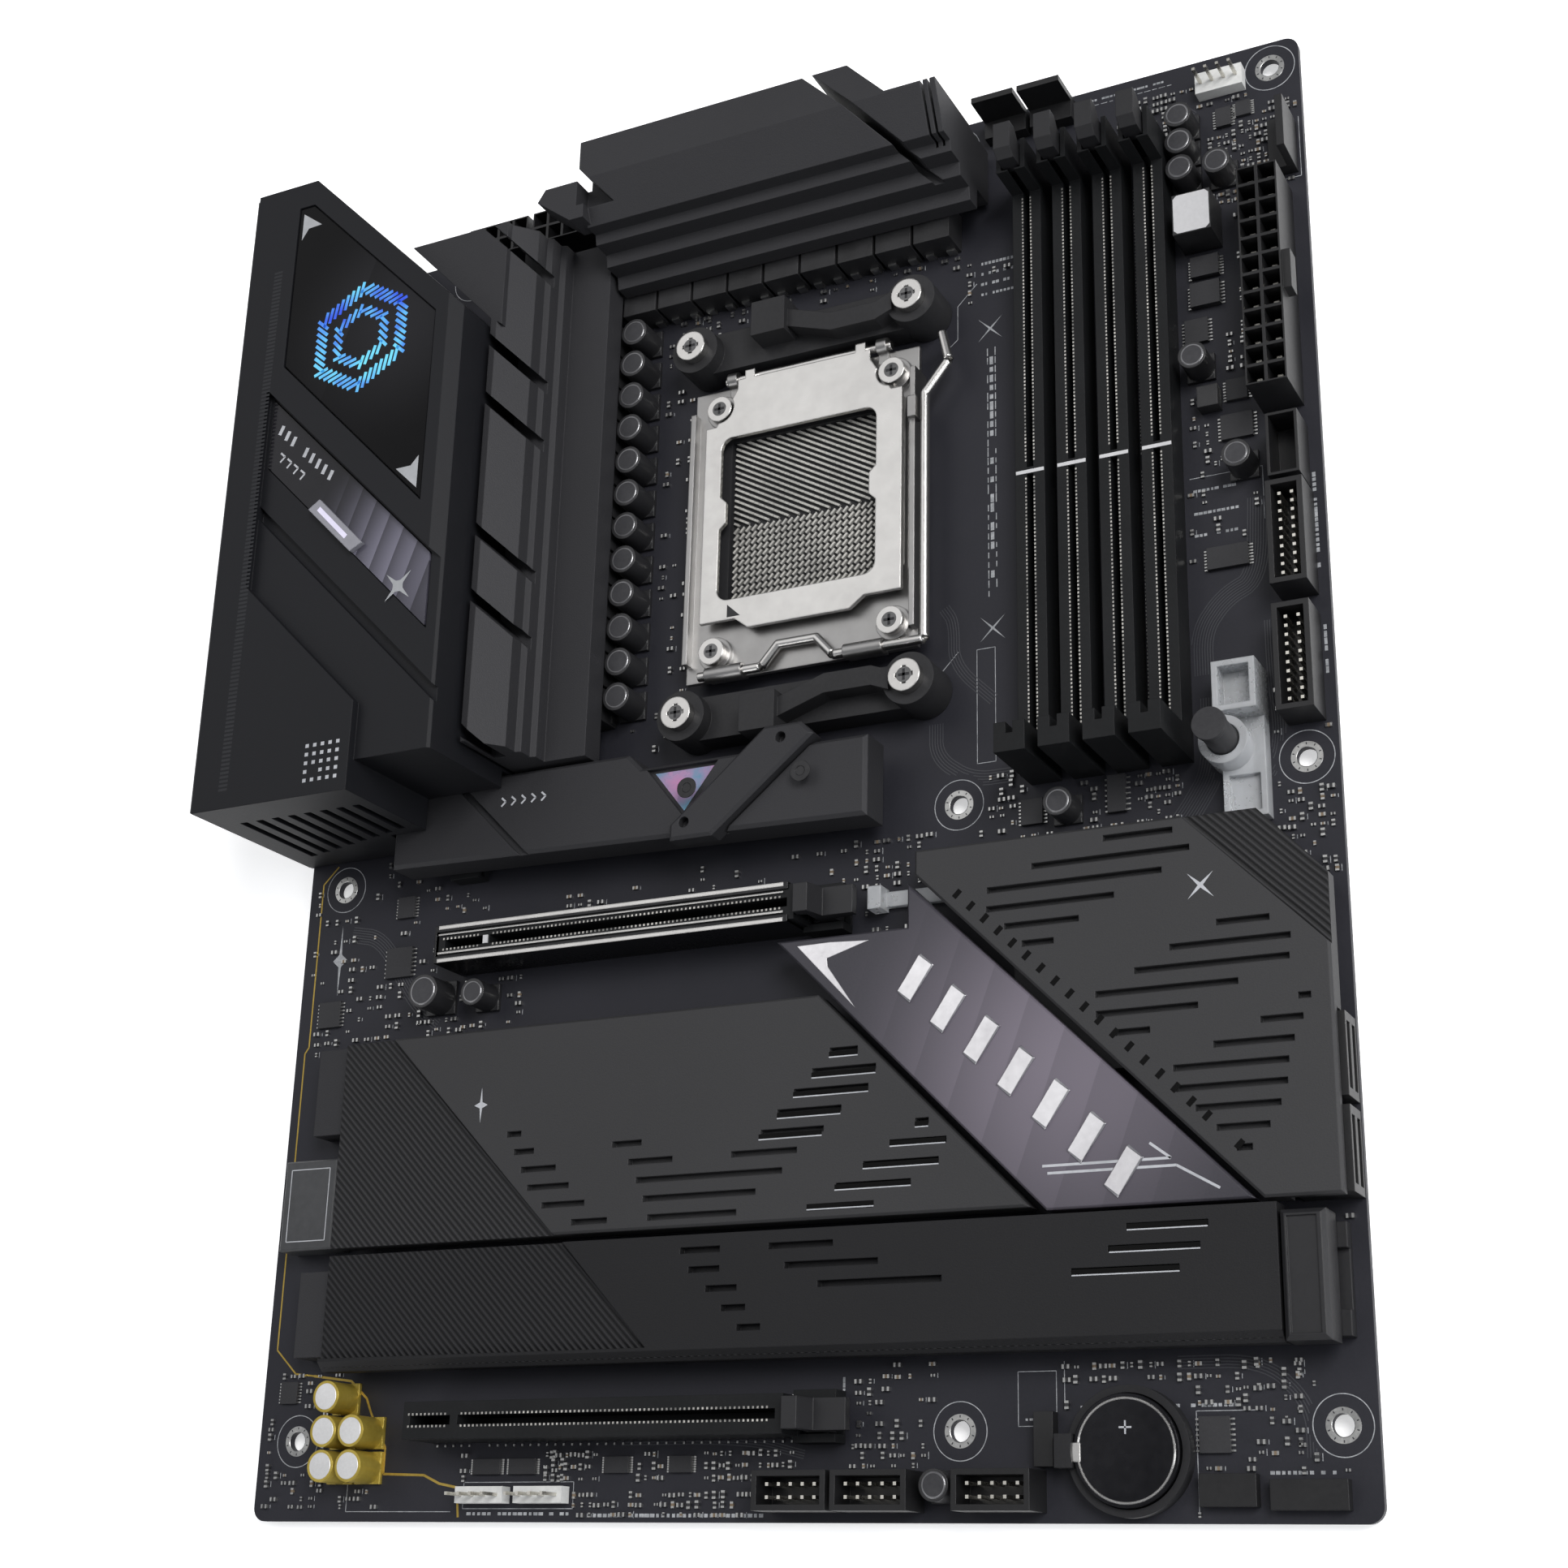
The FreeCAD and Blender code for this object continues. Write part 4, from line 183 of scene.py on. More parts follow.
def skin(name, rings, material, body="board", loop=False):
    """Like shapes in one mesh: rings[k, m, n] holds, for each of k shapes, m closed sections of n corners.

    A list of such arrays is taken end to end. Each section is joined to the next by quads, and the first and
    last are closed, or joined if loop. Corners run anticlockwise when looked at against the direction in
    which the sections follow.
    """
    rings = np.concatenate(rings) if isinstance(rings, list) else np.asarray(rings, float)
    if rings.ndim == 3:
        rings = rings[None]
    k, m, n = rings.shape[:3]
    index = np.arange(k * m * n).reshape(k, m, n)
    here = index if loop else index[:, :-1]
    there = np.roll(index, -1, axis=1) if loop else index[:, 1:]
    walls = np.stack([here, np.roll(here, -1, axis=2), np.roll(there, -1, axis=2), there], axis=-1).reshape(-1, 4)
    faces = walls.tolist()
    if not loop:
        faces += index[:, 0, ::-1].tolist() + index[:, -1].tolist()
    mesh = bpy.data.meshes.new(name)
    mesh.from_pydata(rings.reshape(-1, 3).tolist(), [], faces)
    mesh.update()
    piece = bpy.data.objects.new(name, mesh)
    bpy.context.collection.objects.link(piece)
    mesh.materials.append(material)
    if body:
        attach(piece, body)
    return piece


table_half = 3.0
floor_corners = np.array([(-1, -1), (1, -1), (1, 1), (-1, 1)]) * table_half
floor_rings = np.stack([np.c_[floor_corners, np.full(4, -0.01)], np.c_[floor_corners, np.full(4, 0.0)]])
floor_finish = finish("pale_table", (0.88, 0.885, 0.89), (0.92, 0.92, 0.92), (0.75, 0.85), fine=300.0, slow=2.0,
    contrast=1.0, pores=0.02, edge=0, glow=0.55)
skin("floor", floor_rings, floor_finish, body=None)

# ---- Circuit board ------------------------------------------------------------------------
# Glass-epoxy laminate under black solder mask, with copper runs, tinned rings and white ink on it.
# It is pressed and routed as a panel; the small parts are placed by machine and soldered in an oven.
board_low, board_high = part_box("circuit_board")
board_x, board_y = [(board_high[i] - board_low[i]) * 1000 for i in (0, 1)]


def at(x, y, z=0.0):
    """Board millimetres, from its rear lower corner and its component side, to metres in the row frame."""
    x, y, z = np.broadcast_arrays(x, y, z)
    return np.stack([board_low[0] + x / 1000, board_low[1] + y / 1000, board_high[2] + z / 1000], axis=-1)


def bars(x0, y0, x1, y1, z0, z1):
    """Upright boxes between corner arrays: a rectangle at z0 and the same one at z1."""
    x0, y0, x1, y1, z0, z1 = [np.atleast_1d(v)[:, None] for v in np.broadcast_arrays(x0, y0, x1, y1, z0, z1)]
    xs, ys = np.concatenate([x0, x1, x1, x0], 1), np.concatenate([y0, y0, y1, y1], 1)
    return np.stack([at(xs, ys, z0), at(xs, ys, z1)], axis=1)


def grid(xs, ys):
    """Every pairing of two runs of numbers, as two flat arrays."""
    return [pairing.ravel() for pairing in np.meshgrid(xs, ys)]


def pads(x, y, half_x, half_y, z0, z1):
    """Upright boxes about centres, from their half sizes."""
    return bars(x - half_x, y - half_y, x + half_x, y + half_y, z0, z1)


def strokes(x0, y0, x1, y1, width, z0, z1):
    """Flat strips along lines: each end is moved half a width to either side, square to the line."""
    x0, y0, x1, y1 = [np.atleast_1d(v).astype(float) for v in np.broadcast_arrays(x0, y0, x1, y1)]
    length = np.hypot(x1 - x0, y1 - y0)
    nx, ny = -(y1 - y0) / length * width / 2, (x1 - x0) / length * width / 2
    xs = np.stack([x0 - nx, x1 - nx, x1 + nx, x0 + nx], 1)
    ys = np.stack([y0 - ny, y1 - ny, y1 + ny, y0 + ny], 1)
    return np.stack([at(xs, ys, z0), at(xs, ys, z1)], axis=1)


def path_strokes(points, width, z0, z1):
    """Strips along a run of corners, one strip to each side of it."""
    p = np.asarray(points, float)
    return strokes(p[:-1, 0], p[:-1, 1], p[1:, 0], p[1:, 1], width, z0, z1)


def turned(x, y, profile, corners=24):
    """Round parts: one profile of (radius, height), or one for each centre, turned about the centres."""
    x, y = [np.atleast_1d(v).astype(float)[:, None, None] for v in np.broadcast_arrays(x, y)]
    profile = np.asarray(profile, float)
    radius, height = np.moveaxis(profile[None] if profile.ndim == 2 else profile, -1, 0)[..., None]
    angle = 2 * np.pi * np.arange(corners) / corners
    return at(x + radius * np.cos(angle), y + radius * np.sin(angle), height)


def prism(outline, z0, z1):
    """A flat-sided block: one outline, or like outlines, anticlockwise from above, at z0 and at z1."""
    outline = np.asarray(outline, float)
    outline = outline[None] if outline.ndim == 2 else outline
    return np.stack([at(outline[..., 0], outline[..., 1], z0), at(outline[..., 0], outline[..., 1], z1)], axis=1)


def ridge_group():
    """Shader group: fine straight ridges, square to a diagonal, kept to one level of the object.

    Ridge = wave of x + y at Scale; Mask = 1 where the height is within 0.06 mm of Level.
    """
    group, enter, leave = new_group("fine_ridges", (("Vector", "Vector"), ("Scale", "Float"), ("Level", "Float"),
        ("Wander", "Float")), (("Ridge", "Float"), ("Mask", "Float")))
    height = (add(group, "SeparateXYZ", {"Vector": (enter, "Vector")}), "Z")
    wave = add(group, "TexWave", {"Vector": (enter, "Vector"), "Scale": (enter, "Scale"),
        "Distortion": (enter, "Wander"), "Detail Scale": 0.12}, bands_direction="DIAGONAL")
    link(group, (wave, "Fac"), (leave, "Ridge"))
    link(group, number(group, "COMPARE", height, (enter, "Level"), 0.00006), (leave, "Mask"))
    return group


fine_ridges = ridge_group()


def add_ridges(material, level_mm, pitch_mm, low, high, deep=0.6, wander=0.0):
    """Cuts ridges into a finish at one height: their troughs take the low colour as painted shade, their crests the
    high one as painted light.
    """
    tree = material.node_tree
    shader, grain, bump = (tree.nodes[n] for n in ("Principled BSDF", "grain", "relief"))
    ridge = add(tree, "Group", {"Vector": (tree.nodes["coords"], "Object"), "Scale": 0.4443 / (pitch_mm / 1000),
        "Level": board_high[2] + level_mm / 1000, "Wander": wander}, node_tree=fine_ridges)
    striped = blend_colour(tree, (ridge, "Ridge"), low, high)
    shown = blend_colour(tree, (ridge, "Mask"), (grain, "Colour"), (striped, 2))
    link(tree, (shown, 2), (shader, "Base Color"))
    height = number(tree, "MULTIPLY", (ridge, "Ridge"), (ridge, "Mask"))
    second = add(tree, "Bump", {"Strength": deep, "Distance": 0.00025, "Height": height,
        "Normal": (bump, "Normal")})
    link(tree, (second, "Normal"), (shader, "Normal"))


laminate = finish("black_solder_mask", (0.013, 0.0135, 0.018), (0.022, 0.022, 0.0285), (0.42, 0.58), fine=1600.0,
    slow=60.0, pores=0.1, specular=0.25)
coat_node(laminate, "circuit_board")

tin = finish("solder_tin", (0.3, 0.3, 0.295), (0.6, 0.6, 0.585), (0.25, 0.45), metallic=1.0, fine=2500.0,
    slow=300.0, pores=0.3, edge=0)
ink = finish("white_ink", (0.17, 0.18, 0.19), (0.42, 0.43, 0.45), (0.5, 0.65), fine=3500.0, slow=500.0,
    contrast=3.0, edge=0)
hole_x = np.array([10.16, 165.1, 237.49, 10.16, 165.1, 237.49, 33.02, 165.1, 237.49])
hole_y = np.array([16.51, 16.51, 16.51, 140.97, 140.97, 140.97, 298.45, 298.45, 298.45])
ring_profile = [(3.2, 0.0), (3.15, 0.07), (2.12, 0.07), (2.02, 0.0)]
skin("hole_rings", turned(hole_x, hole_y, ring_profile, 40), tin, loop=True)
dash = 2 * np.pi * (np.arange(10) + 0.5) / 10
bare = finish("bare_gap", (0.03, 0.03, 0.034), (0.06, 0.06, 0.065), (0.5, 0.6), fine=1800.0, edge=0)
skin("hole_ring_gaps", strokes(*[(centre[:, None] + size * trig(dash)).ravel() for size in (2.5, 2.95)
    for centre, trig in ((hole_x, np.cos), (hole_y, np.sin))], 0.24, 0.07, 0.085), bare)
skin("hole_outlines", turned(hole_x, hole_y, [(5.5, 0.0), (5.5, 0.03), (5.32, 0.03), (5.32, 0.0)], 56), ink,
    loop=True)

spread = np.random.default_rng(41)


def coverage():
    """How many low CAD faces stand over each half millimetre of the board, as running sums over x and y.

    Each face's bounding rectangle is added at its four corners, and summing twice fills it in.
    """
    count = np.zeros((640, 760))
    for name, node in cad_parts.items():
        if name in ("circuit_board", "cpu_backplate"):
            continue
        mesh = node.data
        spots = np.empty(len(mesh.vertices) * 3)
        mesh.vertices.foreach_get("co", spots)
        mesh.calc_loop_triangles()
        corner = np.empty(len(mesh.loop_triangles) * 3, int)
        mesh.loop_triangles.foreach_get("vertices", corner)
        tri = (spots.reshape(-1, 3)[corner].reshape(-1, 3, 3) - at(0, 0, 0)) * 1000
        low, high = tri.min(axis=1), tri.max(axis=1)
        keep = (low[:, 2] < 4.5) & (high[:, 2] > -0.5)
        i0, j0 = (np.clip(low[keep, :2] * 2 + 20, 0, (638, 758))).astype(int).T
        i1, j1 = (np.clip(high[keep, :2] * 2 + 21, 0, (639, 759))).astype(int).T
        for i, j, sign in ((i0, j0, 1), (i1, j0, -1), (i0, j1, -1), (i1, j1, 1)):
            np.add.at(count, (i, j), sign)
    taken = count.cumsum(0).cumsum(1) > 0
    return taken.astype(int).cumsum(0).cumsum(1)


covered = coverage()


def free(x0, y0, x1, y1, margin=0.3):
    """True for rectangles with no CAD face over them, that miss the holes and stay on the board."""
    x0, y0, x1, y1 = [np.asarray(v, float) for v in (x0 - margin, y0 - margin, x1 + margin, y1 + margin)]
    i0, j0, i1, j1 = [np.clip(np.floor(v * 2 + 20).astype(int), 1, 638) for v in (x0, y0, x1, y1)]
    total = covered[i1, j1] - covered[i0 - 1, j1] - covered[i1, j0 - 1] + covered[i0 - 1, j0 - 1]
    mid_x, mid_y = (x0 + x1) / 2, (y0 + y1) / 2
    off_holes = (np.hypot(mid_x[..., None] - hole_x, mid_y[..., None] - hole_y) > 6.2 + (x1 - x0)[...,
        None] / 2).all(-1)
    return (total == 0) & off_holes & (x0 > 0.6) & (y0 > 0.6) & (x1 < board_x - 0.6) & (y1 < board_y - 0.6)


# Chips: outline x0, y0, x1, y1 and height; a black epoxy block with tinned legs along two sides.
chips = np.array([(218.7, 250.6, 224.8, 255.4, 1.6), (218.4, 243.6, 224.8, 249.2, 1.6),
    (216.8, 235.4, 221.8, 241.0, 1.0), (216.4, 213.0, 222.8, 218.6, 1.2), (223.6, 211.6, 230.3, 217.2, 1.0),
    (225.0, 220.4, 229.5, 225.2, 0.9), (225.4, 286.4, 228.7, 291.0, 1.0), (229.8, 288.0, 233.0, 291.6, 0.8),
    (219.6, 183.2, 228.2, 188.0, 1.1), (179.0, 134.4, 183.6, 139.8, 1.0), (197.4, 134.6, 201.2, 142.4, 1.2),
    (233.3, 130.2, 238.8, 134.4, 1.0), (211.6, 12.0, 217.4, 18.4, 0.9), (56.4, 9.3, 63.0, 12.4, 0.8),
    (65.2, 9.3, 71.6, 12.4, 0.8), (150.6, 106.0, 156.6, 112.0, 0.9), (146.4, 124.0, 151.6, 130.4, 1.0),
    (24.0, 118.0, 31.0, 125.0, 1.0), (6.0, 108.0, 12.0, 114.0, 0.9), (26.0, 132.0, 30.6, 137.0, 0.9),
    (88.0, 9.4, 93.6, 12.6, 0.9), (103.0, 9.4, 108.0, 12.6, 0.9), (5.0, 24.4, 9.4, 29.0, 0.8)])
chips = chips[free(*chips[:, :4].T, margin=0.0)]
epoxy = finish("chip_epoxy", (0.018, 0.018, 0.02), (0.034, 0.034, 0.037), (0.45, 0.6), fine=2200.0, slow=90.0,
    specular=0.3)
x0, y0, x1, y1, tall = chips.T
skin("board_chips", bars(x0, y0, x1, y1, 0.08, tall), epoxy)
leg_y = (y0[:, None] + (y1 - y0)[:, None] * (np.arange(7) + 0.5) / 7).ravel()
for side, near, far in (("left", x0 - 0.75, x0), ("right", x1, x1 + 0.75)):
    skin("chip_legs_" + side, bars(np.repeat(near, 7), leg_y - 0.17, np.repeat(far, 7), leg_y + 0.17, 0.0, 0.22),
        tin)

# Surface-mounted parts: areas x0, y0, x1, y1, the steps between places and the share of places filled.
areas = [(3, 3, 22, 31, 2.4, 1.6, 0.5), (23, 3, 34, 9, 2.2, 1.5, 0.5), (54, 8.6, 80, 13.4, 2.0, 1.5, 0.45),
    (67, 8.4, 131, 13.6, 1.7, 2.3, 0.85), (81, 1.4, 124.5, 6.8, 1.9, 1.9, 0.7), (143, 10.4, 164, 16, 2.1, 1.8, 0.6),
    (150, 18, 160, 30, 2.4, 2.2, 0.4), (186.6, 20.8, 223, 29, 1.8, 2.3, 0.75), (211, 1.4, 223, 12, 2.0, 1.6, 0.7),
    (218, 12, 232, 28, 2.4, 1.9, 0.45), (225, 9, 240, 28, 2.6, 2.1, 0.35), (170, 130.5, 184, 147, 2.3, 1.7, 0.55),
    (185, 130.5, 212, 142.5, 1.9, 1.6, 0.65), (214, 186, 232, 208, 2.7, 2.1, 0.25),
    (224, 268, 243, 291, 1.7, 1.8, 0.85), (204, 288, 236, 299, 2.0, 1.7, 0.75),
    (215, 208, 232, 268, 2.8, 2.0, 0.45), (3, 102, 45, 146, 2.8, 2.4, 0.36), (142, 101, 160, 136, 2.4, 1.9, 0.55),
    (34, 103, 62, 118, 2.4, 2.0, 0.5), (86, 164, 105, 273, 3.1, 2.6, 0.4), (96, 258, 178, 272, 3.0, 2.4, 0.35),
    (232, 118, 243, 147, 2.0, 1.8, 0.6), (142, 14, 150, 30, 2.2, 2.0, 0.4), (232, 30, 243, 54, 2.2, 1.9, 0.45),
    (226, 142, 233, 160, 2.2, 1.9, 0.3), (62, 290, 84, 304, 2.6, 2.0, 0.5), (44, 125.5, 140, 135, 2.8, 2.2, 0.24),
    (32, 284, 66, 294, 2.6, 2.2, 0.3)]
places = []
for low_x, low_y, high_x, high_y, step_x, step_y, share in areas:
    xs, ys = grid(np.arange(low_x, high_x, step_x), np.arange(low_y, high_y, step_y))
    places.append((xs, ys, np.full(xs.size, share)))
grid_x, grid_y, share = np.concatenate(places, axis=1)
draw = spread.random(len(grid_x))
along, across, height = [np.choose(np.minimum((draw * 9).astype(int) % 3, 2), kinds)
    for kinds in ((0.9, 1.3, 1.5), (0.5, 0.7, 0.8), (0.35, 0.5, 0.75))]
upright = spread.random(len(grid_x)) < 0.45
half_x, half_y = np.where(upright, across, along) / 2, np.where(upright, along, across) / 2
part_x, part_y = grid_x + spread.uniform(-0.15, 0.15, len(grid_x)), grid_y + spread.uniform(-0.1, 0.1, len(grid_x))
clear_of_chips = ~((part_x[:, None] + 1.9 > x0) & (part_x[:, None] - 1.9 < x1) & (part_y[:, None] + 1.1 > y0)
    & (part_y[:, None] - 1.1 < y1)).any(1)
wanted = (spread.random(len(grid_x)) < share) & clear_of_chips
wanted &= free(part_x - half_x, part_y - half_y, part_x + half_x, part_y + half_y)
part_x, part_y, half_x, half_y, height, upright, draw = [v[wanted] for v in (part_x, part_y, half_x, half_y, height,
    upright, draw)]
end_x, end_y = np.where(upright, 0, half_x), np.where(upright, half_y, 0)
cap_x, cap_y = np.where(upright, half_x * 1.02, half_x * 0.3), np.where(upright, half_y * 0.3, half_y * 1.02)
skin("part_ends", [pads(part_x + s * (end_x - np.where(upright, 0, cap_x)),
    part_y + s * (end_y - np.where(upright, cap_y, 0)), cap_x, cap_y, 0.0, height * 1.03) for s in (-1, 1)], tin)
mid_x, mid_y = np.where(upright, half_x, half_x * 0.5), np.where(upright, half_y * 0.5, half_y)
tan_ceramic = finish("tan_ceramic", (0.10, 0.075, 0.05), (0.22, 0.17, 0.12), (0.4, 0.6), fine=3000.0, slow=400.0,
    edge=0)
brown = draw < 0.22
for title, pick, material in (("resistor_bodies", ~brown, epoxy), ("capacitor_bodies", brown, tan_ceramic)):
    skin(title, pads(part_x, part_y, mid_x, mid_y, 0.02, height)[pick], material)

# White ink: short ticks beside the parts, outlines, four-pointed sparkles and a column of blank marks.
tick_x, tick_y = part_x[::3] + half_x[::3] + 0.45, part_y[::3]
tick_long = spread.uniform(0.3, 0.7, len(tick_x))
ok = free(tick_x - 0.1, tick_y - tick_long, tick_x + 0.1, tick_y + tick_long, 0.0)
skin("ink_ticks", pads(tick_x, tick_y, 0.07, tick_long, 0.0, 0.02)[ok], ink)


def dashes(x0, y0, x1, y1, pitch, width, upright, share=0.8):
    """A row of short marks of uneven length along a line, like blocks of print seen from afar."""
    count = int(np.hypot(x1 - x0, y1 - y0) / pitch)
    step = (np.arange(count) + 0.5) / count
    px, py = x0 + (x1 - x0) * step, y0 + (y1 - y0) * step
    long = spread.uniform(0.25, 0.5, count) * pitch
    keep = spread.random(count) < share
    hx, hy = (width / 2, long) if upright else (long, width / 2)
    return pads(px, py, hx, hy, 0.0, 0.02)[keep]


rows = [dashes(*row) for row in ((172.0, 186, 172.0, 246, 2.2, 0.22, True),
    (172.9, 186, 172.9, 246, 2.2, 0.8, True, 0.55), (173.8, 186, 173.8, 246, 2.2, 0.22, True),
    (196, 302.2, 215, 302.2, 0.9, 0.5, False), (196, 300.9, 216, 300.9, 1.6, 0.16, False, 1.0),
    (241.9, 180, 241.9, 201, 1.1, 0.7, True), (242.4, 156, 242.4, 168, 1.4, 0.6, True),
    (84, 1.3, 124, 1.3, 1.2, 0.7, False, 0.9), (55, 1.6, 80, 1.6, 1.2, 0.6, False),
    (224, 8.6, 238, 8.6, 1.0, 0.6, False), (217, 191.6, 227, 191.6, 0.9, 0.6, False),
    (217, 196.5, 226.5, 196.5, 0.9, 0.6, False), (217, 201.6, 226, 201.6, 0.9, 0.6, False),
    (170.5, 259.6, 178.4, 259.6, 0.8, 0.6, False), (170.5, 262.2, 178.4, 262.2, 0.8, 0.7, False),
    (170.5, 264.8, 178.4, 264.8, 0.8, 0.7, False), (170.5, 267.4, 178.4, 267.4, 0.8, 0.7, False),
    (188, 20.4, 219, 20.4, 1.0, 0.6, False), (178, 18.4, 183.4, 18.4, 0.8, 0.4, False),
    (140.8, 27, 140.8, 17, 1.0, 0.5, True))]
skin("ink_rows", rows, ink)
boxes = [[(169.2, 149.4), (173.3, 149.4), (173.3, 174.8), (169.2, 174.8), (169.2, 149.4)],
    [(176.8, 17.2), (184.4, 17.2), (184.4, 27.1), (176.8, 27.1), (176.8, 17.2)],
    [(216.4, 204.6), (231.6, 204.6), (231.6, 192.8)], [(54.0, 2.6), (80.6, 2.6), (80.6, 7.8), (54.0, 7.8),
    (54.0, 2.6)], [(236.0, 270.0), (243.0, 270.0), (243.0, 284.6)], [(211.0, 1.2), (211.0, 19.4), (222.6, 19.4)],
    [(165.0, 258.0), (169.6, 262.7)], [(165.0, 249.7), (165.0, 258.0)], [(162.3, 247.5), (165.0, 249.7)],
    [(186.0, 28.8), (186.0, 20.0)], [(24.4, 9.6), (24.4, 2.0), (51.0, 2.0)], [(204.4, 288.4), (221.0, 288.4)],
    [(165.0, 175.0), (158.4, 168.0), (158.4, 161.6)]]
skin("ink_outlines", [path_strokes(b, 0.14, 0.0, 0.02) for b in boxes], ink)


def sparkle(x, y, reach, waist, z0, z1, turn=np.pi / 4, tall=1.0):
    """Four-pointed stars: eight corners, alternately at the reach and at the waist, turned, y stretched by tall."""
    angle = turn + np.pi / 4 * np.arange(8)
    radius = np.where(np.arange(8) % 2 == 0, reach, waist)
    x, y = [np.atleast_1d(v).astype(float)[:, None] for v in (x, y)]
    return prism(np.stack([x + radius * np.cos(angle), y + tall * radius * np.sin(angle)], -1), z0, z1)


skin("board_sparkles", [sparkle([172.7, 172.8], [250.7, 179.2], 4.0, 0.32, 0.0, 0.02),
    sparkle(10.1, 123.9, 2.0, 0.5, 0.0, 0.02, 0.0, 4.2)], ink)

# Copper runs under the mask: bundles of equal offsets from a smooth bend, raised a few hundredths.
copper_mask = finish("masked_copper", (0.024, 0.025, 0.031), (0.042, 0.043, 0.05), (0.3, 0.45), fine=1500.0,
    slow=80.0, edge=0, specular=0.4)


def bundle(points, count, pitch, width):
    """Parallel runs: a three-point-average curve through the corners, offset square to itself by whole pitches."""
    p = np.asarray(points, float)
    t = np.linspace(0, len(p) - 1, 8 * (len(p) - 1) + 1)
    x, y = np.interp(t, np.arange(len(p)), p[:, 0]), np.interp(t, np.arange(len(p)), p[:, 1])
    soft = np.ones(7) / 7
    x = np.convolve(np.r_[np.full(3, x[0]), x, np.full(3, x[-1])], soft, "valid")
    y = np.convolve(np.r_[np.full(3, y[0]), y, np.full(3, y[-1])], soft, "valid")
    dx, dy = np.gradient(x), np.gradient(y)
    size = np.hypot(dx, dy)
    off = (np.arange(count) - (count - 1) / 2)[:, None] * pitch
    px, py = x - dy / size * off, y + dx / size * off
    a, b, c, d = [v.ravel() for v in (px[:, :-1], py[:, :-1], px[:, 1:], py[:, 1:])]
    ok = free(np.minimum(a, c), np.minimum(b, d), np.maximum(a, c), np.maximum(b, d), 0.0)
    return strokes(a[ok], b[ok], c[ok], d[ok], width, 0.0, 0.03)


runs = [bundle(*run) for run in (([(217.6, 160.0), (217.6, 170.5), (222.5, 177.0), (229.6, 180.2), (230.6, 200.0)],
    9, 0.55, 0.2), ([(224.0, 128.6), (228.6, 137.0), (233.0, 144.0), (232.0, 160.0), (232.0, 172.0)], 7, 0.5, 0.2),
    ([(210.8, 129.0), (214.4, 133.4), (219.2, 141.0), (219.4, 158.0)], 10, 0.55, 0.2),
    ([(178.0, 146.0), (168.0, 146.0), (160.0, 152.0), (160.0, 160.4)], 6, 0.6, 0.2),
    ([(174.0, 162.0), (164.0, 172.0), (164.0, 182.0), (161.5, 186.0)], 5, 0.6, 0.2),
    ([(88.0, 15.6), (120.0, 15.6), (134.0, 12.2)], 4, 0.5, 0.2), ([(206.0, 28.0), (224.0, 28.0), (232.0, 20.0),
    (232.0, 10.0)], 5, 0.55, 0.2), ([(12.0, 130.0), (22.0, 128.0), (32.0, 112.0), (40.0, 106.0)], 7, 0.6, 0.2),
    ([(204.0, 296.0), (216.0, 296.4), (221.0, 291.0)], 4, 0.5, 0.2))]
skin("copper_runs", runs, copper_mask)
gilt = finish("gold_run", (0.28, 0.19, 0.03), (0.5, 0.36, 0.09), (0.35, 0.5), metallic=0.6, fine=1500.0, slow=120.0,
    edge=0)
gold_line = [(13.1, 30.2), (23.2, 28.9), (27.6, 25.2), (29.0, 22.2), (33.4, 15.0), (33.4, 9.6), (43.8, 9.3),
    (47.8, 7.6), (52.3, 6.8), (53.0, 0.9)]
edge_line = [(7.4, 147.0), (3.4, 143.0), (3.4, 104.0), (2.4, 102.6), (2.4, 36.0), (8.0, 30.8), (13.1, 30.2)]
skin("gold_run", [path_strokes(gold_line, 0.5, 0.0, 0.03), path_strokes(edge_line, 0.35, 0.0, 0.03)], gilt)

# ---- Processor socket -----------------------------------------------------------------------
# A moulded land-grid socket under a pressed, nickel-plated load plate with a wire lever, on a steel backplate.
# The contacts are sprung leaves of gold-flashed copper; the frame is held by four screws through the board.
socket_polymer = finish("socket_polymer", (0.012, 0.012, 0.013), (0.024, 0.024, 0.026), (0.45, 0.6), fine=1500.0)
# Bright nickel plate; also used for painted highlights on the slot sheath's edges and the coin cell's rim.
bright_nickel_and_highlight = finish("nickel_and_painted_highlight", (0.44, 0.43, 0.42), (0.72, 0.71, 0.69), (0.2, 0.3), metallic=1.0, fine=240.0,
    slow=16.0, contrast=1.6, pores=0.0, depth=0.000004, edge=0.0004)
# Black plate steel; also used for painted shade in the screw heads' cross recesses.
dark_metal_and_recess_shade = finish("black_plate_steel", (0.03, 0.03, 0.032), (0.06, 0.06, 0.063), (0.4, 0.55), metallic=0.7,
    slow=40.0)
coat_node(socket_polymer, "socket_body")
coat_node(finish("frame_steel", (0.26, 0.255, 0.25), (0.44, 0.435, 0.43), (0.3, 0.42), metallic=1.0, fine=240.0,
    slow=22.0, contrast=1.8, pores=0.0, depth=0.000004, edge=0.0004), "socket_frame")
coat_node(bright_nickel_and_highlight, "socket_load_plate", "socket_load_lever", "socket_screws")
coat_node(dark_metal_and_recess_shade, "cpu_backplate")

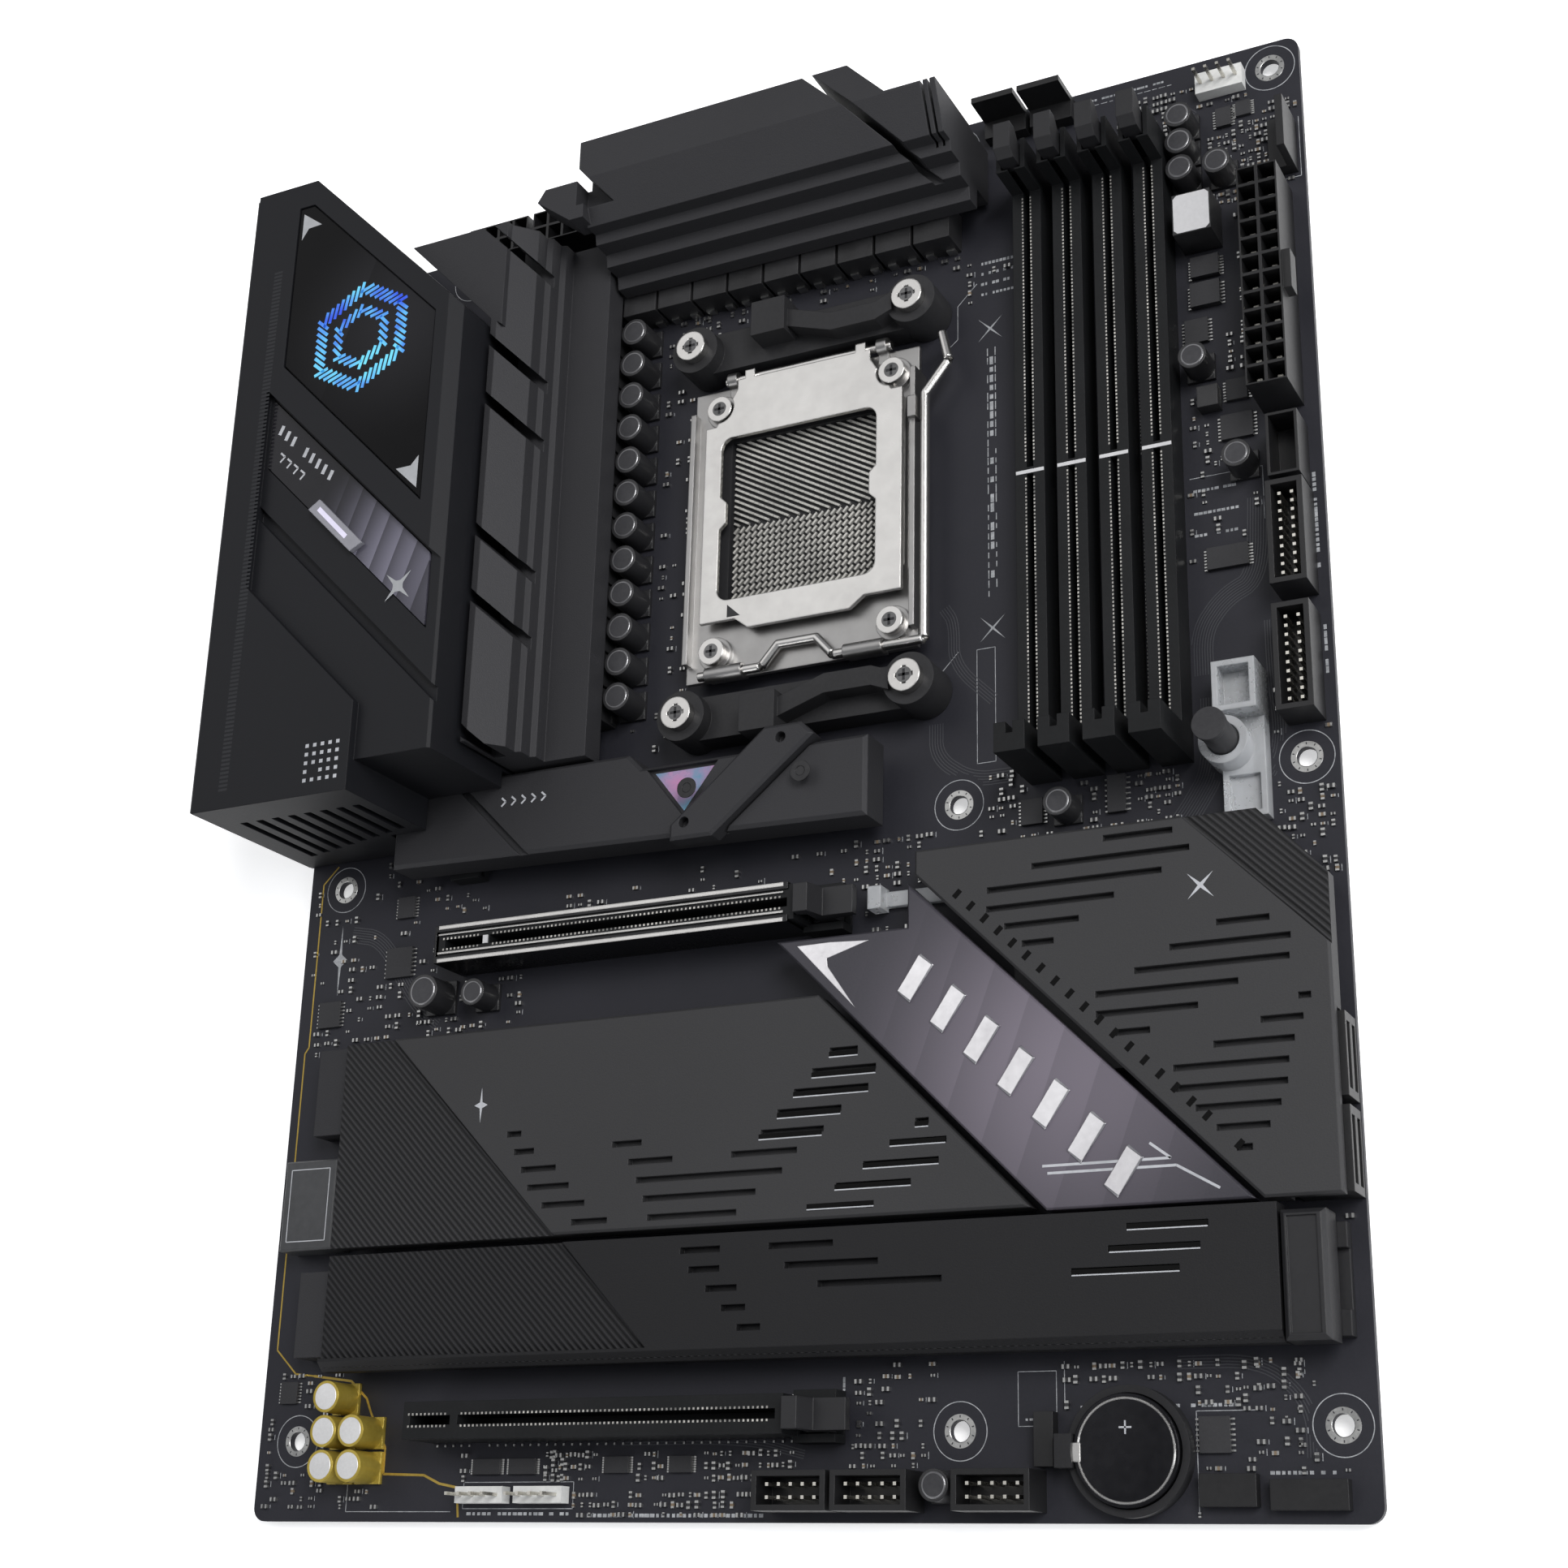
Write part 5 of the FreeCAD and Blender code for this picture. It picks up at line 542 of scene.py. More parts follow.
leaf_metal = finish("contact_leaf", (0.2, 0.197, 0.187), (0.62, 0.61, 0.57), (0.3, 0.45), metallic=0.35,
    fine=2600.0, slow=60.0, contrast=2.2, edge=0)
leaves = []
for x_pitch, y_pitch, low, high, shift, reach_x, reach_y in ((1.25, 1.44, 213.0, 235.0, 0.72, 0.6, -0.34),
    (1.5, 1.6, 193.8, 213.2, 0.0, 0.56, 0.6)):
    cols, lines = np.meshgrid(np.arange(int(38.2 / x_pitch)), np.arange(int((high - low) / y_pitch)))
    leaf_x, leaf_y = (112.6 + cols * x_pitch).ravel(), (low + 0.6 + lines * y_pitch + shift * (cols % 2)).ravel()
    leaves.append(strokes(leaf_x - reach_x, leaf_y - reach_y, leaf_x + reach_x, leaf_y + reach_y, 0.5, 2.6, 3.3))
skin("socket_contacts", leaves, leaf_metal)
skin("load_plate_arrow", prism([(113.2, 189.2), (116.4, 189.2), (113.2, 192.2)], 7.39, 7.46), dark_metal_and_recess_shade,
    body="load_plate")
recess_shade_metal = finish("screw_head_recess_shade", (0.07, 0.07, 0.072), (0.2, 0.2, 0.2), (0.25, 0.4), metallic=0.9, fine=600.0,
    slow=60.0, edge=0)
# Dark crosses and darker discs on the screw heads are painted shade in the heads' recesses.
for title, xs, ys, top in (("clamp_screw_crosses", (109.5, 152.3), (181.8, 241.4), 7.5),
    ("bracket_screw_crosses", (103.9, 157.9), (166.6, 256.6), 12.2)):
    centre_x, centre_y = np.repeat(xs, 2), np.tile(ys, 2)
    skin(title, pads(np.repeat(centre_x, 2), np.repeat(centre_y, 2), *np.tile([(1.25, 0.3), (0.3, 1.25)], (4, 1)).T,
        top - 0.02, top + 0.06), dark_metal_and_recess_shade)
    skin(title.replace("crosses", "recesses"), turned(centre_x, centre_y,
        [(1.75, top - 0.01), (1.7, top + 0.03), (0.4, top + 0.03)], 24), recess_shade_metal)

# ---- Cooler brackets ------------------------------------------------------------------------
# Black moulded rails at the socket's sides that a cooler hooks on, each held by two bright screws.
# The screws go through the board into the steel backplate.
coat_node(finish("bracket_polymer", (0.015, 0.015, 0.016), (0.03, 0.03, 0.032), (0.36, 0.5), fine=1300.0, slow=30.0,
    edge=0.00025), "cooler_brackets")
coat_node(bright_nickel_and_highlight, "cooler_bracket_screws")

# ---- Memory slots ---------------------------------------------------------------------------
# Four moulded connectors with two rows of sprung contacts each, soldered through the board.
# A pivoting latch closes the top end of each one; pale key bars mark where a module's notch goes.
slot_polymer = finish("slot_polymer", (0.006, 0.0065, 0.007), (0.013, 0.0135, 0.0145), (0.36, 0.5), fine=1300.0,
    slow=40.0, edge=0.0002, specular=0.16)
latch_polymer = finish("latch_polymer", (0.008, 0.008, 0.009), (0.017, 0.017, 0.019), (0.35, 0.5), fine=1300.0,
    edge=0.0003, specular=0.4)
coat_node(slot_polymer, "memory_slots")
coat_node(latch_polymer, "memory_latch_1", "memory_latch_2", "memory_latch_3", "memory_latch_4")
slot_x = 184.3 + 9.2 * np.arange(4)
tick = 150.6 + 0.85 * np.arange(149)
tick = tick[np.abs(tick - 210.2) > 1.6]
row_x, row_y = grid(slot_x, tick)
contact_tin = finish("contact_tin", (0.14, 0.14, 0.135), (0.6, 0.58, 0.54), (0.3, 0.4), metallic=0.5, fine=3000.0,
    slow=160.0, contrast=4.0, edge=0)
skin("memory_contacts", [pads(row_x + s * 0.92, row_y, 0.17, 0.22, 7.1, 7.23) for s in (-1, 1)], contact_tin)
skin("memory_solder_tails", [pads(row_x[::2] + s * 3.75, row_y[::2], 0.2, 0.2, 0.0, 0.25) for s in (-1, 1)], tin)
pale_polymer = finish("pale_key_polymer", (0.44, 0.44, 0.45), (0.58, 0.58, 0.59), (0.4, 0.55), fine=1500.0, edge=0)
skin("memory_key_bars", bars(slot_x - 3.1, 209.6, slot_x + 3.1, 210.4, 7.15, 7.26), pale_polymer)

# ---- Expansion slots ------------------------------------------------------------------------
# Two sixteen-lane card connectors with end latches; the upper one wears a stamped steel sheath.
# A long rod under the memory slots lets a push button free the upper latch.
coat_node(slot_polymer, "expansion_slots")
coat_node(finish("sheath_steel", (0.02, 0.02, 0.021), (0.05, 0.05, 0.052), (0.22, 0.36), metallic=1.0, fine=500.0,
    slow=40.0, edge=0.0002), "expansion_slot_sheath")
coat_node(latch_polymer, "expansion_latch_upper", "expansion_latch_lower")
sheath_low, sheath_high = [(np.array(c) - at(0, 0, 0)) * 1000 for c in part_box("expansion_slot_sheath")]
upper_slot_y, lower_slot_y, contact_top = 121.0, 19.4, 11.2
# Bright strips along the sheath's outer edges and its slot opening are painted highlights, where the folded steel
# edges catch light.
edge_highlight_y = np.array([sheath_low[1] + 0.5, upper_slot_y - 2.1, sheath_high[1] - 0.5, upper_slot_y + 2.1])
edge_highlight_wide = np.array([0.42, 0.22, 0.42, 0.16])
skin("sheath_edge_painted_highlights", bars(sheath_low[0] + 1.0, edge_highlight_y - edge_highlight_wide, sheath_high[0] - 1.0, edge_highlight_y + edge_highlight_wide,
    sheath_high[2] - 0.03, sheath_high[2] + 0.03), bright_nickel_and_highlight)
skin("upper_slot_key", bars(57.4, 120.1, 58.6, 121.9, 10.9, 11.5), pale_polymer)
lane = 46.9 + 1.0 * np.arange(84)
lane = lane[np.abs(lane - 58.0) > 1.3]
for title, y in (("upper_slot_contacts", upper_slot_y), ("lower_slot_contacts", lower_slot_y)):
    skin(title, np.concatenate([pads(lane, y + s * 1.2, 0.2, 0.22, contact_top - 0.1, contact_top + 0.03)
        for s in (-1, 1)]), contact_tin)
skin("lower_slot_tails", [pads(lane[::2], lower_slot_y + s * 4.3, 0.2, 0.22, 0.0, 0.3) for s in (-1, 1)], tin)

coat_node(finish("milky_polymer", (0.62, 0.64, 0.66), (0.85, 0.87, 0.9), (0.22, 0.36), fine=600.0, slow=60.0,
    transmission=0.6, edge=0.0004, specular=0.5), "slot_release_housing", "slot_release_rod")
button_polymer = finish("button_polymer", (0.02, 0.02, 0.022), (0.045, 0.045, 0.048), (0.4, 0.55), fine=1300.0,
    edge=0.0003)
coat_node(button_polymer, "slot_release_button")

# ---- Power stages and capacitors ------------------------------------------------------------
# Square pressed-ferrite chokes in two rows beside the socket, driver chips behind them, and can capacitors.
# All are soldered flat on the board; the audio section's capacitors wear gold sleeves.
ferrite = finish("choke_ferrite", (0.010, 0.010, 0.0105), (0.028, 0.028, 0.03), (0.35, 0.55), fine=2600.0,
    slow=120.0, contrast=2.4, pores=0.4, edge=0.0004, specular=0.45)
coat_node(ferrite, "power_chokes")
coat_node(epoxy, "power_and_chipset_chips")
coat_node(finish("black_can_sleeve", (0.010, 0.010, 0.011), (0.026, 0.026, 0.028), (0.3, 0.45), fine=1600.0,
    edge=0.0004, specular=0.5), "black_capacitors")
coat_node(finish("gold_can_sleeve", (0.33, 0.24, 0.03), (0.52, 0.40, 0.08), (0.28, 0.4), metallic=0.45, fine=900.0,
    slow=80.0, edge=0.0004, specular=0.5), "audio_capacitors")
can_x = np.array([22.8, 29.9, 22.8, 29.9, 22.8])
can_y = np.array([10.8, 10.8, 17.9, 17.9, 25.0])
can_top_tin = finish("brushed_can_top", (0.6, 0.6, 0.6), (0.78, 0.78, 0.78), (0.35, 0.5), metallic=0.5, fine=1600.0,
    slow=100.0, edge=0)
skin("audio_can_tops", turned(can_x, can_y, [(2.75, 7.98), (2.65, 8.08), (1.2, 8.1)], 32), can_top_tin)
black_x = np.array([218.74, 218.74, 218.74, 226.74, 219.94, 228.14, 189, 52.4, 162.6, 40.0] + [86.2] * 12)
black_y = np.array([287.9, 281.3, 274.7, 274.2, 229.2, 205.0, 136.4, 110.8, 6.4, 111.9] + [174.6 + 8.37 * i
    for i in range(12)])
black_r = np.array([2.45] * 9 + [3.2] + [2.75] * 12)
black_z = np.array([7.0] * 9 + [8.2] + [8.2] * 12)
dull_tin = finish("printed_can_top", (0.035, 0.035, 0.038), (0.065, 0.065, 0.07), (0.4, 0.55), metallic=0.3,
    fine=1500.0, slow=200.0, edge=0)
can_rim = finish("can_rim", (0.1, 0.1, 0.105), (0.3, 0.3, 0.31), (0.25, 0.4), metallic=0.8, fine=900.0, slow=90.0,
    edge=0)
for title, corners, material in (("black_can_tops", ((black_r, -0.02), (black_r - 0.1, 0.06),
    (black_r * 0.35, 0.07)), dull_tin), ("black_can_rims", [(black_r + a, b)
    for a, b in ((0.03, -0.35), (0.03, 0.02), (-0.12, 0.12), (-0.34, 0.1), (-0.38, 0.0))], can_rim)):
    steps = np.stack([np.stack([radius, black_z + rise], -1) for radius, rise in corners], 1)
    skin(title, turned(black_x, black_y, steps, 28), material)
skin("white_choke_top", prism([(218.4, 257.4), (224.5, 257.4), (225.3, 258.2), (225.3, 265.8), (224.5, 266.6),
    (218.4, 266.6), (217.6, 265.8), (217.6, 258.2)], 8.58, 8.66), pale_polymer)
choke_y = 170.4 + 8.37 * np.arange(12)
top_x = 82.6 + 9.35 * np.arange(9)
skin("choke_feet", [bars(81.55, choke_y + a, 81.95, choke_y + b, 0.1, 2.2)
    for a, b in ((0.6, 2.4), (5.3, 7.1))] + [bars(top_x + a, 271.3, top_x + b, 271.85, 0.1, 2.2)
    for a, b in ((0.8, 2.8), (5.8, 7.8))], tin)

# ---- Heatsinks over the power stages ---------------------------------------------------------
# Two machined aluminium blocks, blasted and anodised near black, with stepped faces and slots.
# Screws through the board from behind hold them on thermal pads.
blasted = finish("blasted_aluminium", (0.021, 0.021, 0.0235), (0.038, 0.038, 0.0415), (0.5, 0.66), metallic=0.25,
    fine=3200.0, slow=12.0, contrast=1.5, pores=0.6, depth=0.00008, edge=0.0003, specular=0.35)
coat_node(blasted, "heatsink_left", "heatsink_top")
screw_black = finish("black_oxide_screw", (0.02, 0.02, 0.021), (0.05, 0.05, 0.052), (0.3, 0.45), metallic=0.6,
    fine=900.0, edge=0.0002)
coat_node(screw_black, "heatsink_screws")

# ---- Rear connectors ------------------------------------------------------------------------
# A pressed steel shield with the ports behind it: folded steel shells, moulded tongues, brass aerial jacks.
# Each port is soldered through the board; two small buttons slide in their own switches.
brass = finish("gilt_brass", (0.5, 0.36, 0.12), (0.75, 0.57, 0.25), (0.2, 0.35), metallic=1.0, fine=800.0,
    slow=60.0, edge=0.0002)
coat_node(finish("stamped_shield", (0.05, 0.05, 0.053), (0.09, 0.09, 0.094), (0.35, 0.5), metallic=0.7, fine=900.0,
    slow=25.0), "rear_shield")
coat_node(finish("port_shell_steel", (0.5, 0.5, 0.49), (0.72, 0.72, 0.7), (0.2, 0.35), metallic=1.0, fine=600.0,
    slow=45.0, edge=0.0002), "usb_and_video_ports", "network_port")
coat_node(brass, "aerial_jacks")
coat_node(socket_polymer, "audio_jacks", "rear_switches")
coat_node(button_polymer, "firmware_button", "reset_settings_button")

# ---- Rear cover -----------------------------------------------------------------------------
# A moulded hood over the rear connectors with a fine blasted coating, a glossy window and a printed light bar.
# It is clipped and screwed to the board; the window and bar are separate clear mouldings, painted from behind. The
# window's colour also carries a painted reflection.
coat_node(finish("cover_coating", (0.0045, 0.0048, 0.0062), (0.009, 0.0094, 0.012), (0.5, 0.64), fine=2600.0,
    slow=14.0, contrast=1.4, pores=0.35, depth=0.00006, edge=0.0003, specular=0.25), "rear_cover")
gloss = finish("gloss_window", (0.0015, 0.0015, 0.002), (0.003, 0.003, 0.0035), (0.08, 0.14), fine=200.0, slow=8.0,
    pores=0.0, edge=0.0003, specular=0.07)


def shade_bar(material, centre, reach, lit, stripe_mm, share):
    """Adds a soft pool of light about a point in board millimetres, and broad diagonal stripes, to a finish.

    Pool = 1 - distance / reach, kept to 0..1; colour = grain + pool x lit x (1 - share + share x stripe).
    """
    tree = material.node_tree
    shader, grain = tree.nodes["Principled BSDF"], tree.nodes["grain"]
    place = (tree.nodes["coords"], "Object")
    away = add(tree, "VectorMath", {0: place, 1: tuple(at(*centre))}, operation="DISTANCE")
    pool = add(tree, "MapRange", {"Value": (away, "Value"), "From Min": 0.0, "From Max": reach, "To Min": 1.0,
        "To Max": 0.0}, interpolation_type="SMOOTHSTEP")
    tilted = add(tree, "Mapping", {"Vector": place, "Rotation": (0, 0, 0.35)})
    wave = add(tree, "TexWave", {"Vector": (tilted, "Vector"), "Scale": 0.31416 / (stripe_mm / 1000)},
        bands_direction="X", wave_profile="SAW")
    amount = number(tree, "MULTIPLY", (pool, "Result"), number(tree, "MULTIPLY_ADD", (wave, "Fac"), share,
        1 - share))
    shown = blend_colour(tree, amount, (grain, "Colour"), lit)
    link(tree, (shown, 2), (shader, "Base Color"))


bar_print = finish("light_bar_print", (0.006, 0.006, 0.008), (0.012, 0.0115, 0.015), (0.14, 0.22), fine=300.0,
    slow=20.0, pores=0.0, edge=0.0002)
shade_bar(bar_print, (46.0, 202.0, 41.8), 0.030, (0.15, 0.145, 0.19), 5.2, 0.7)
coat_node(bar_print, "rear_cover_light_bar")

# The emblem's print glows by emission: a painted glow, as the emblem is no lamp.
emblem_painted_glow = finish("emblem_print_with_painted_glow", (0.02, 0.06, 0.5), (0.12, 0.5, 0.62), (0.2, 0.3), fine=120.0, slow=70.0,
    contrast=5.0, edge=0, glow=0.55)


def hatched(corners, width, pitch, slant, thick, z0, z1):
    """A band along a run of corners, drawn as slanted hatch strokes: one stroke each pitch along the run."""
    p = np.asarray(corners, float)
    size = np.hypot(*(p[1:] - p[:-1]).T)
    many = np.maximum((size / pitch).astype(int), 1)
    part = np.repeat(np.arange(len(many)), many)
    step = (np.concatenate([np.arange(n) for n in many]) + 0.5) / many[part]
    way = (p[1:] - p[:-1]) / size[:, None]
    mid = p[:-1][part] + (p[1:] - p[:-1])[part] * step[:, None]
    across = np.stack([-way[part][:, 1], way[part][:, 0]], 1) * width / 2 + way[part] * slant
    return strokes(mid[:, 0] - across[:, 0], mid[:, 1] - across[:, 1], mid[:, 0] + across[:, 0],
        mid[:, 1] + across[:, 1], thick, z0, z1)


pane_top = (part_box("rear_cover_window")[1][2] - board_high[2]) * 1000
corner = np.pi / 6 + np.pi / 3 * np.arange(7)
emblem = np.concatenate([hatched(np.stack([34.0 + size * np.cos(corner), 259.5 + size * np.sin(corner)], 1), band,
    1.6, 1.3, 0.8, pane_top, pane_top + 0.03) for size, band in ((13.0, 3.0), (7.4, 2.4))])
# A soft diagonal pool of light in the window's colour is a painted reflection.
shade_bar(gloss, (42.0, 262.0, 43.0), 0.034, (0.02, 0.02, 0.023), 40.0, 0.4)
coat_node(gloss, "rear_cover_window")
skin("window_emblem", emblem, emblem_painted_glow)
frost = finish("frosted_corner", (0.26, 0.27, 0.28), (0.42, 0.43, 0.45), (0.4, 0.5), fine=600.0, slow=60.0, edge=0)
skin("window_corner_marks", prism([[(13.6, 297.8), (13.6, 290.6), (15.4, 293.4), (19.2, 293.6)],
    [(53.4, 216.8), (53.4, 224.8), (51.4, 222.6), (47.4, 222.6)]], pane_top, pane_top + 0.03), frost)
bar_top = (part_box("rear_cover_light_bar")[1][2] - board_high[2]) * 1000
# Pale print finish; also used for painted highlights along the lower edges of the deck slots.
print_and_highlight_grey = finish("pale_marks_and_painted_highlights", (0.30, 0.31, 0.33), (0.52, 0.53, 0.56), (0.4, 0.5), fine=900.0, slow=120.0,
    edge=0)
bends = [path_strokes([(x - 0.9, y + 1.2), (x + 0.4, y), (x - 0.9, y - 1.2)], 0.45, bar_top, bar_top + 0.03)
    for x, y in zip(13.8 + 2.1 * np.arange(4), 233.4 - 1.9 * np.arange(4))]
skin("bar_arrows", bends, print_and_highlight_grey)
run = np.arange(9)
skin("bar_blank_marks", strokes(12.4 + 1.95 * run - 0.5, 240.6 - 1.85 * run - 1.1, 12.4 + 1.95 * run + 0.5,
    240.6 - 1.85 * run + 1.1, 1.0, bar_top, bar_top + 0.03)[[0, 1, 2, 4, 5, 6, 7, 8]], print_and_highlight_grey)
skin("bar_sparkle", [sparkle(49.6, 194.2, reach, waist, bar_top, bar_top + rise)
    for reach, waist, rise in ((4.6, 0.9, 0.04), (2.0, 1.3, 0.05))], frost)
clear_prism = finish("clear_prism", (0.3, 0.3, 0.34), (0.42, 0.42, 0.47), (0.1, 0.2), fine=300.0, slow=30.0,
    pores=0.0, depth=0.000004, transmission=0.35, edge=0.0004, specular=0.6)
skin("bar_prism", prism([(23.6, 217.4), (36.4, 204.6), (39.6, 206.2), (26.6, 219.4)], bar_top, bar_top + 1.3),
    clear_prism)
# The prism's core glows by emission: a painted glow standing in for light caught in the clear prism.
prism_core_painted_glow = finish("prism_core_painted_glow", (0.42, 0.40, 0.5), (0.6, 0.58, 0.7), (0.3, 0.4), fine=300.0, slow=60.0, edge=0,
    glow=0.5)
skin("bar_prism_core", prism([(26.2, 216.6), (34.6, 208.0), (35.4, 208.8), (27.0, 217.4)], bar_top + 1.3,
    bar_top + 1.36), prism_core_painted_glow)
dot_x, dot_y = grid(30.2 + 2.05 * np.arange(5), 151.0 + 2.0 * np.arange(5))
cover_top = 43.5
flat_mark_base, flat_mark_top = cover_top - 0.01, cover_top + 0.005
# The cover's fine ribbing is drawn as flat stripes lighter than the cover: painted sheen on the rib crests.
rib_y = 152.0 + 1.0 * np.arange(132)
skin("cover_ribs_painted_sheen", bars(6.6, rib_y - 0.28, 9.0, rib_y + 0.28, flat_mark_base, flat_mark_top),
    finish("ribs_painted_sheen_coating", (0.016, 0.0165, 0.019), (0.028, 0.029, 0.032), (0.5, 0.6), fine=2200.0, edge=0))
skin("cover_print_dots", np.delete(pads(dot_x, dot_y, 0.45, 0.42, flat_mark_base, flat_mark_top), 6, axis=0), print_and_highlight_grey)

# ---- Drive heatsinks and the lower deck -------------------------------------------------------
# Flat aluminium covers over the drive sockets and chipset, blasted dark, with ribbed zones milled across corners.
# A printed banner plate crosses the deck; a sprung catch and a screwed strap hold the two drive covers.
deck_coating = finish("deck_coating", (0.026, 0.026, 0.0275), (0.042, 0.042, 0.044), (0.5, 0.64), metallic=0.2,
    fine=2800.0, slow=10.0, contrast=1.4, pores=0.5, depth=0.00007, edge=0.0003, specular=0.35)
# The ribbed zones' troughs are painted dark as shade and their crests painted light.
add_ridges(deck_coating, 9.0, 1.15, (0.006, 0.006, 0.0065), (0.030, 0.030, 0.032), deep=0.9, wander=1.2)
coat_node(deck_coating, "cover_plate_left", "chipset_heatsink")
# The lower drive cover takes a darker copy of the deck coating: painted shade, as less light falls on it.
shaded_lower_coating = finish("deck_coating_painted_shade", (0.0085, 0.0085, 0.0095), (0.0155, 0.0155, 0.017), (0.5, 0.64),
    metallic=0.2, fine=2800.0, slow=10.0, contrast=1.4, pores=0.5, depth=0.00007, edge=0.0003, specular=0.3)
add_ridges(shaded_lower_coating, 9.0, 1.15, (0.004, 0.004, 0.0045), (0.02, 0.02, 0.022), deep=0.9, wander=1.2)
coat_node(shaded_lower_coating, "drive_heatsink_lower")
coat_node(blasted, "drive_heatsink_upper", "drive_heatsink_strap", "cover_end_blocks")
banner_coating = finish("banner_coating", (0.022, 0.0215, 0.027), (0.042, 0.040, 0.050), (0.32, 0.45), metallic=0.2,
    fine=2400.0, slow=14.0, pores=0.2, edge=0.0003, specular=0.5)
shade_bar(banner_coating, (186.0, 84.0, 10.0), 0.050, (0.17, 0.15, 0.185), 9.0, 0.25)
coat_node(banner_coating, "banner_plate")
coat_node(latch_polymer, "heatsink_latch", "heatsink_latch_rail", "drive_latch_1", "drive_latch_2", "drive_latch_3")
coat_node(slot_polymer, "drive_sockets")
shadow = finish("slot_shadow", (0.002, 0.002, 0.002), (0.004, 0.004, 0.004), (0.7, 0.8), edge=0, specular=0.1)
chrome = finish("chrome_inlay", (0.55, 0.54, 0.56), (0.85, 0.84, 0.86), (0.12, 0.25), metallic=1.0, fine=500.0,
    slow=60.0, contrast=2.5, pores=0.05, edge=0.0002)
deck_top, banner_top = 10.2, 10.0
inlay_x, inlay_y = 158.5 + 7.0 * np.arange(7), 103.0 - 6.8 * np.arange(7)
skin("banner_inlays", np.stack([at(inlay_x[:, None] + np.array([-2.6 + t, 0.2 + t, 5.4 - t, 2.6 - t]),
    inlay_y[:, None] + np.array([-3.0, -5.6 + t, 1.6, 4.2 - t]), z)
    for t, z in ((0.0, banner_top), (0.0, banner_top + 0.2), (0.35, banner_top + 0.45))], axis=1), chrome)
edge_x, edge_y = 166.0 + 2.9 * np.arange(21), 121.4 - 2.82 * np.arange(21)
skin("plate_blank_marks", strokes(edge_x - 0.7, edge_y - 0.7, edge_x + 0.7, edge_y + 0.7, 1.1, deck_top,
    deck_top + 0.02)[spread.random(21) < 0.85], shadow)
arc = np.array([[(187.0, 62.0), (212.0, 62.0), (220.0, 57.4)], [(186.0, 63.4), (211.0, 63.4), (207.0, 66.4)]])
skin("banner_corner_lines", [path_strokes(line, 0.5, banner_top, banner_top + 0.03) for line in arc], print_and_highlight_grey)
skin("banner_corner_wedges", prism([[(133.6, 111.6), (140.4, 108.4), (149.6, 111.2), (141.0, 111.7)],
    [(133.6, 111.6), (146.8, 97.6), (140.6, 106.6), (140.4, 108.4)]], banner_top, banner_top + 0.04), chrome)
skin("deck_sparkles", [sparkle(59.0, 84.4, 1.7, 0.42, deck_top, deck_top + 0.04, 0.0, 2.2),
    sparkle(218.5, 114.5, 3.6, 0.5, deck_top, deck_top + 0.04)], print_and_highlight_grey)
slot_lines = np.array([(88.5, 141.3, 147.6), (84.6, 137.5, 151.5), (81.0, 133.5, 150.0), (77.0, 130.0, 144.0),
    (73.0, 126.0, 140.0), (73.2, 160.0, 162.8), (69.8, 154.7, 166.4), (65.8, 149.0, 165.0), (62.0, 143.0, 159.2),
    (58.5, 137.0, 151.4), (51.3, 202.3, 217.5), (47.4, 198.8, 216.0), (43.5, 191.5, 212.0)])
slot_y, slot_start, slot_end = slot_lines.T
skin("deck_slots", bars(slot_start, slot_y - 0.5, slot_end, slot_y + 0.5, deck_top, deck_top + 0.025), shadow)
# Pale strips along each slot's lower edge are painted highlights, drawn with the pale print finish.
skin("deck_slot_painted_highlights", bars(slot_start, slot_y - 0.72, slot_end, slot_y - 0.48, deck_top, deck_top + 0.04),
    print_and_highlight_grey)
badge = finish("badge_foil", (0.05, 0.26, 0.36), (0.42, 0.2, 0.36), (0.2, 0.3), metallic=0.2, fine=90.0, slow=140.0,
    contrast=5.0, pores=0.05, edge=0)
skin("drive_cover_badge", prism([(99.6, 153.1), (106.96, 143.8), (114.0, 153.1)], 11.8, 11.9), badge)
mark = 61.0 + 2.6 * np.arange(5)
skin("drive_cover_marks", [path_strokes([(x, 152.6), (x + 1.1, 151.6), (x, 150.6)], 0.42, 13.0, 13.03)
    for x in mark], print_and_highlight_grey)
skin("strap_screws", turned([109.2, 136.0], [147.6, 147.6], [(2.3, 15.18), (2.25, 15.3), (1.1, 15.32),
    (1.05, 15.22)], 28), screw_black)

# ---- Connectors and headers -------------------------------------------------------------------
# Moulded nylon housings over square tinned pins: power cells at 4.2 mm pitch, shrouded and open headers.
# Pins are pressed through the housings and wave-soldered under the board.
nylon = finish("black_nylon", (0.005, 0.005, 0.0055), (0.012, 0.012, 0.013), (0.35, 0.5), fine=1200.0, slow=50.0,
    edge=0.0002, specular=0.4)
coat_node(nylon, "power_connectors", "box_headers", "front_usb_header", "drive_ports", "pin_headers")
pin_tin = finish("pin_tin", (0.5, 0.48, 0.42), (0.8, 0.78, 0.72), (0.2, 0.35), metallic=1.0, fine=900.0, slow=120.0,
    edge=0)
pin_pitch = 4.2
cells = (np.arange(12) + 0.5) * pin_pitch
pin_x, pin_y = grid(232.44 + cells[:2], 216.2 + cells)
cpu_x, cpu_y = grid(np.r_[40.4 + cells[:4], 58.8 + cells[:4]], 295.2 + cells[:2])
term_x, term_y = np.r_[pin_x, cpu_x], np.r_[pin_y, cpu_y]
skin("power_pins", pads(term_x, term_y, 0.55, 0.55, 3.8, 9.6), pin_tin)


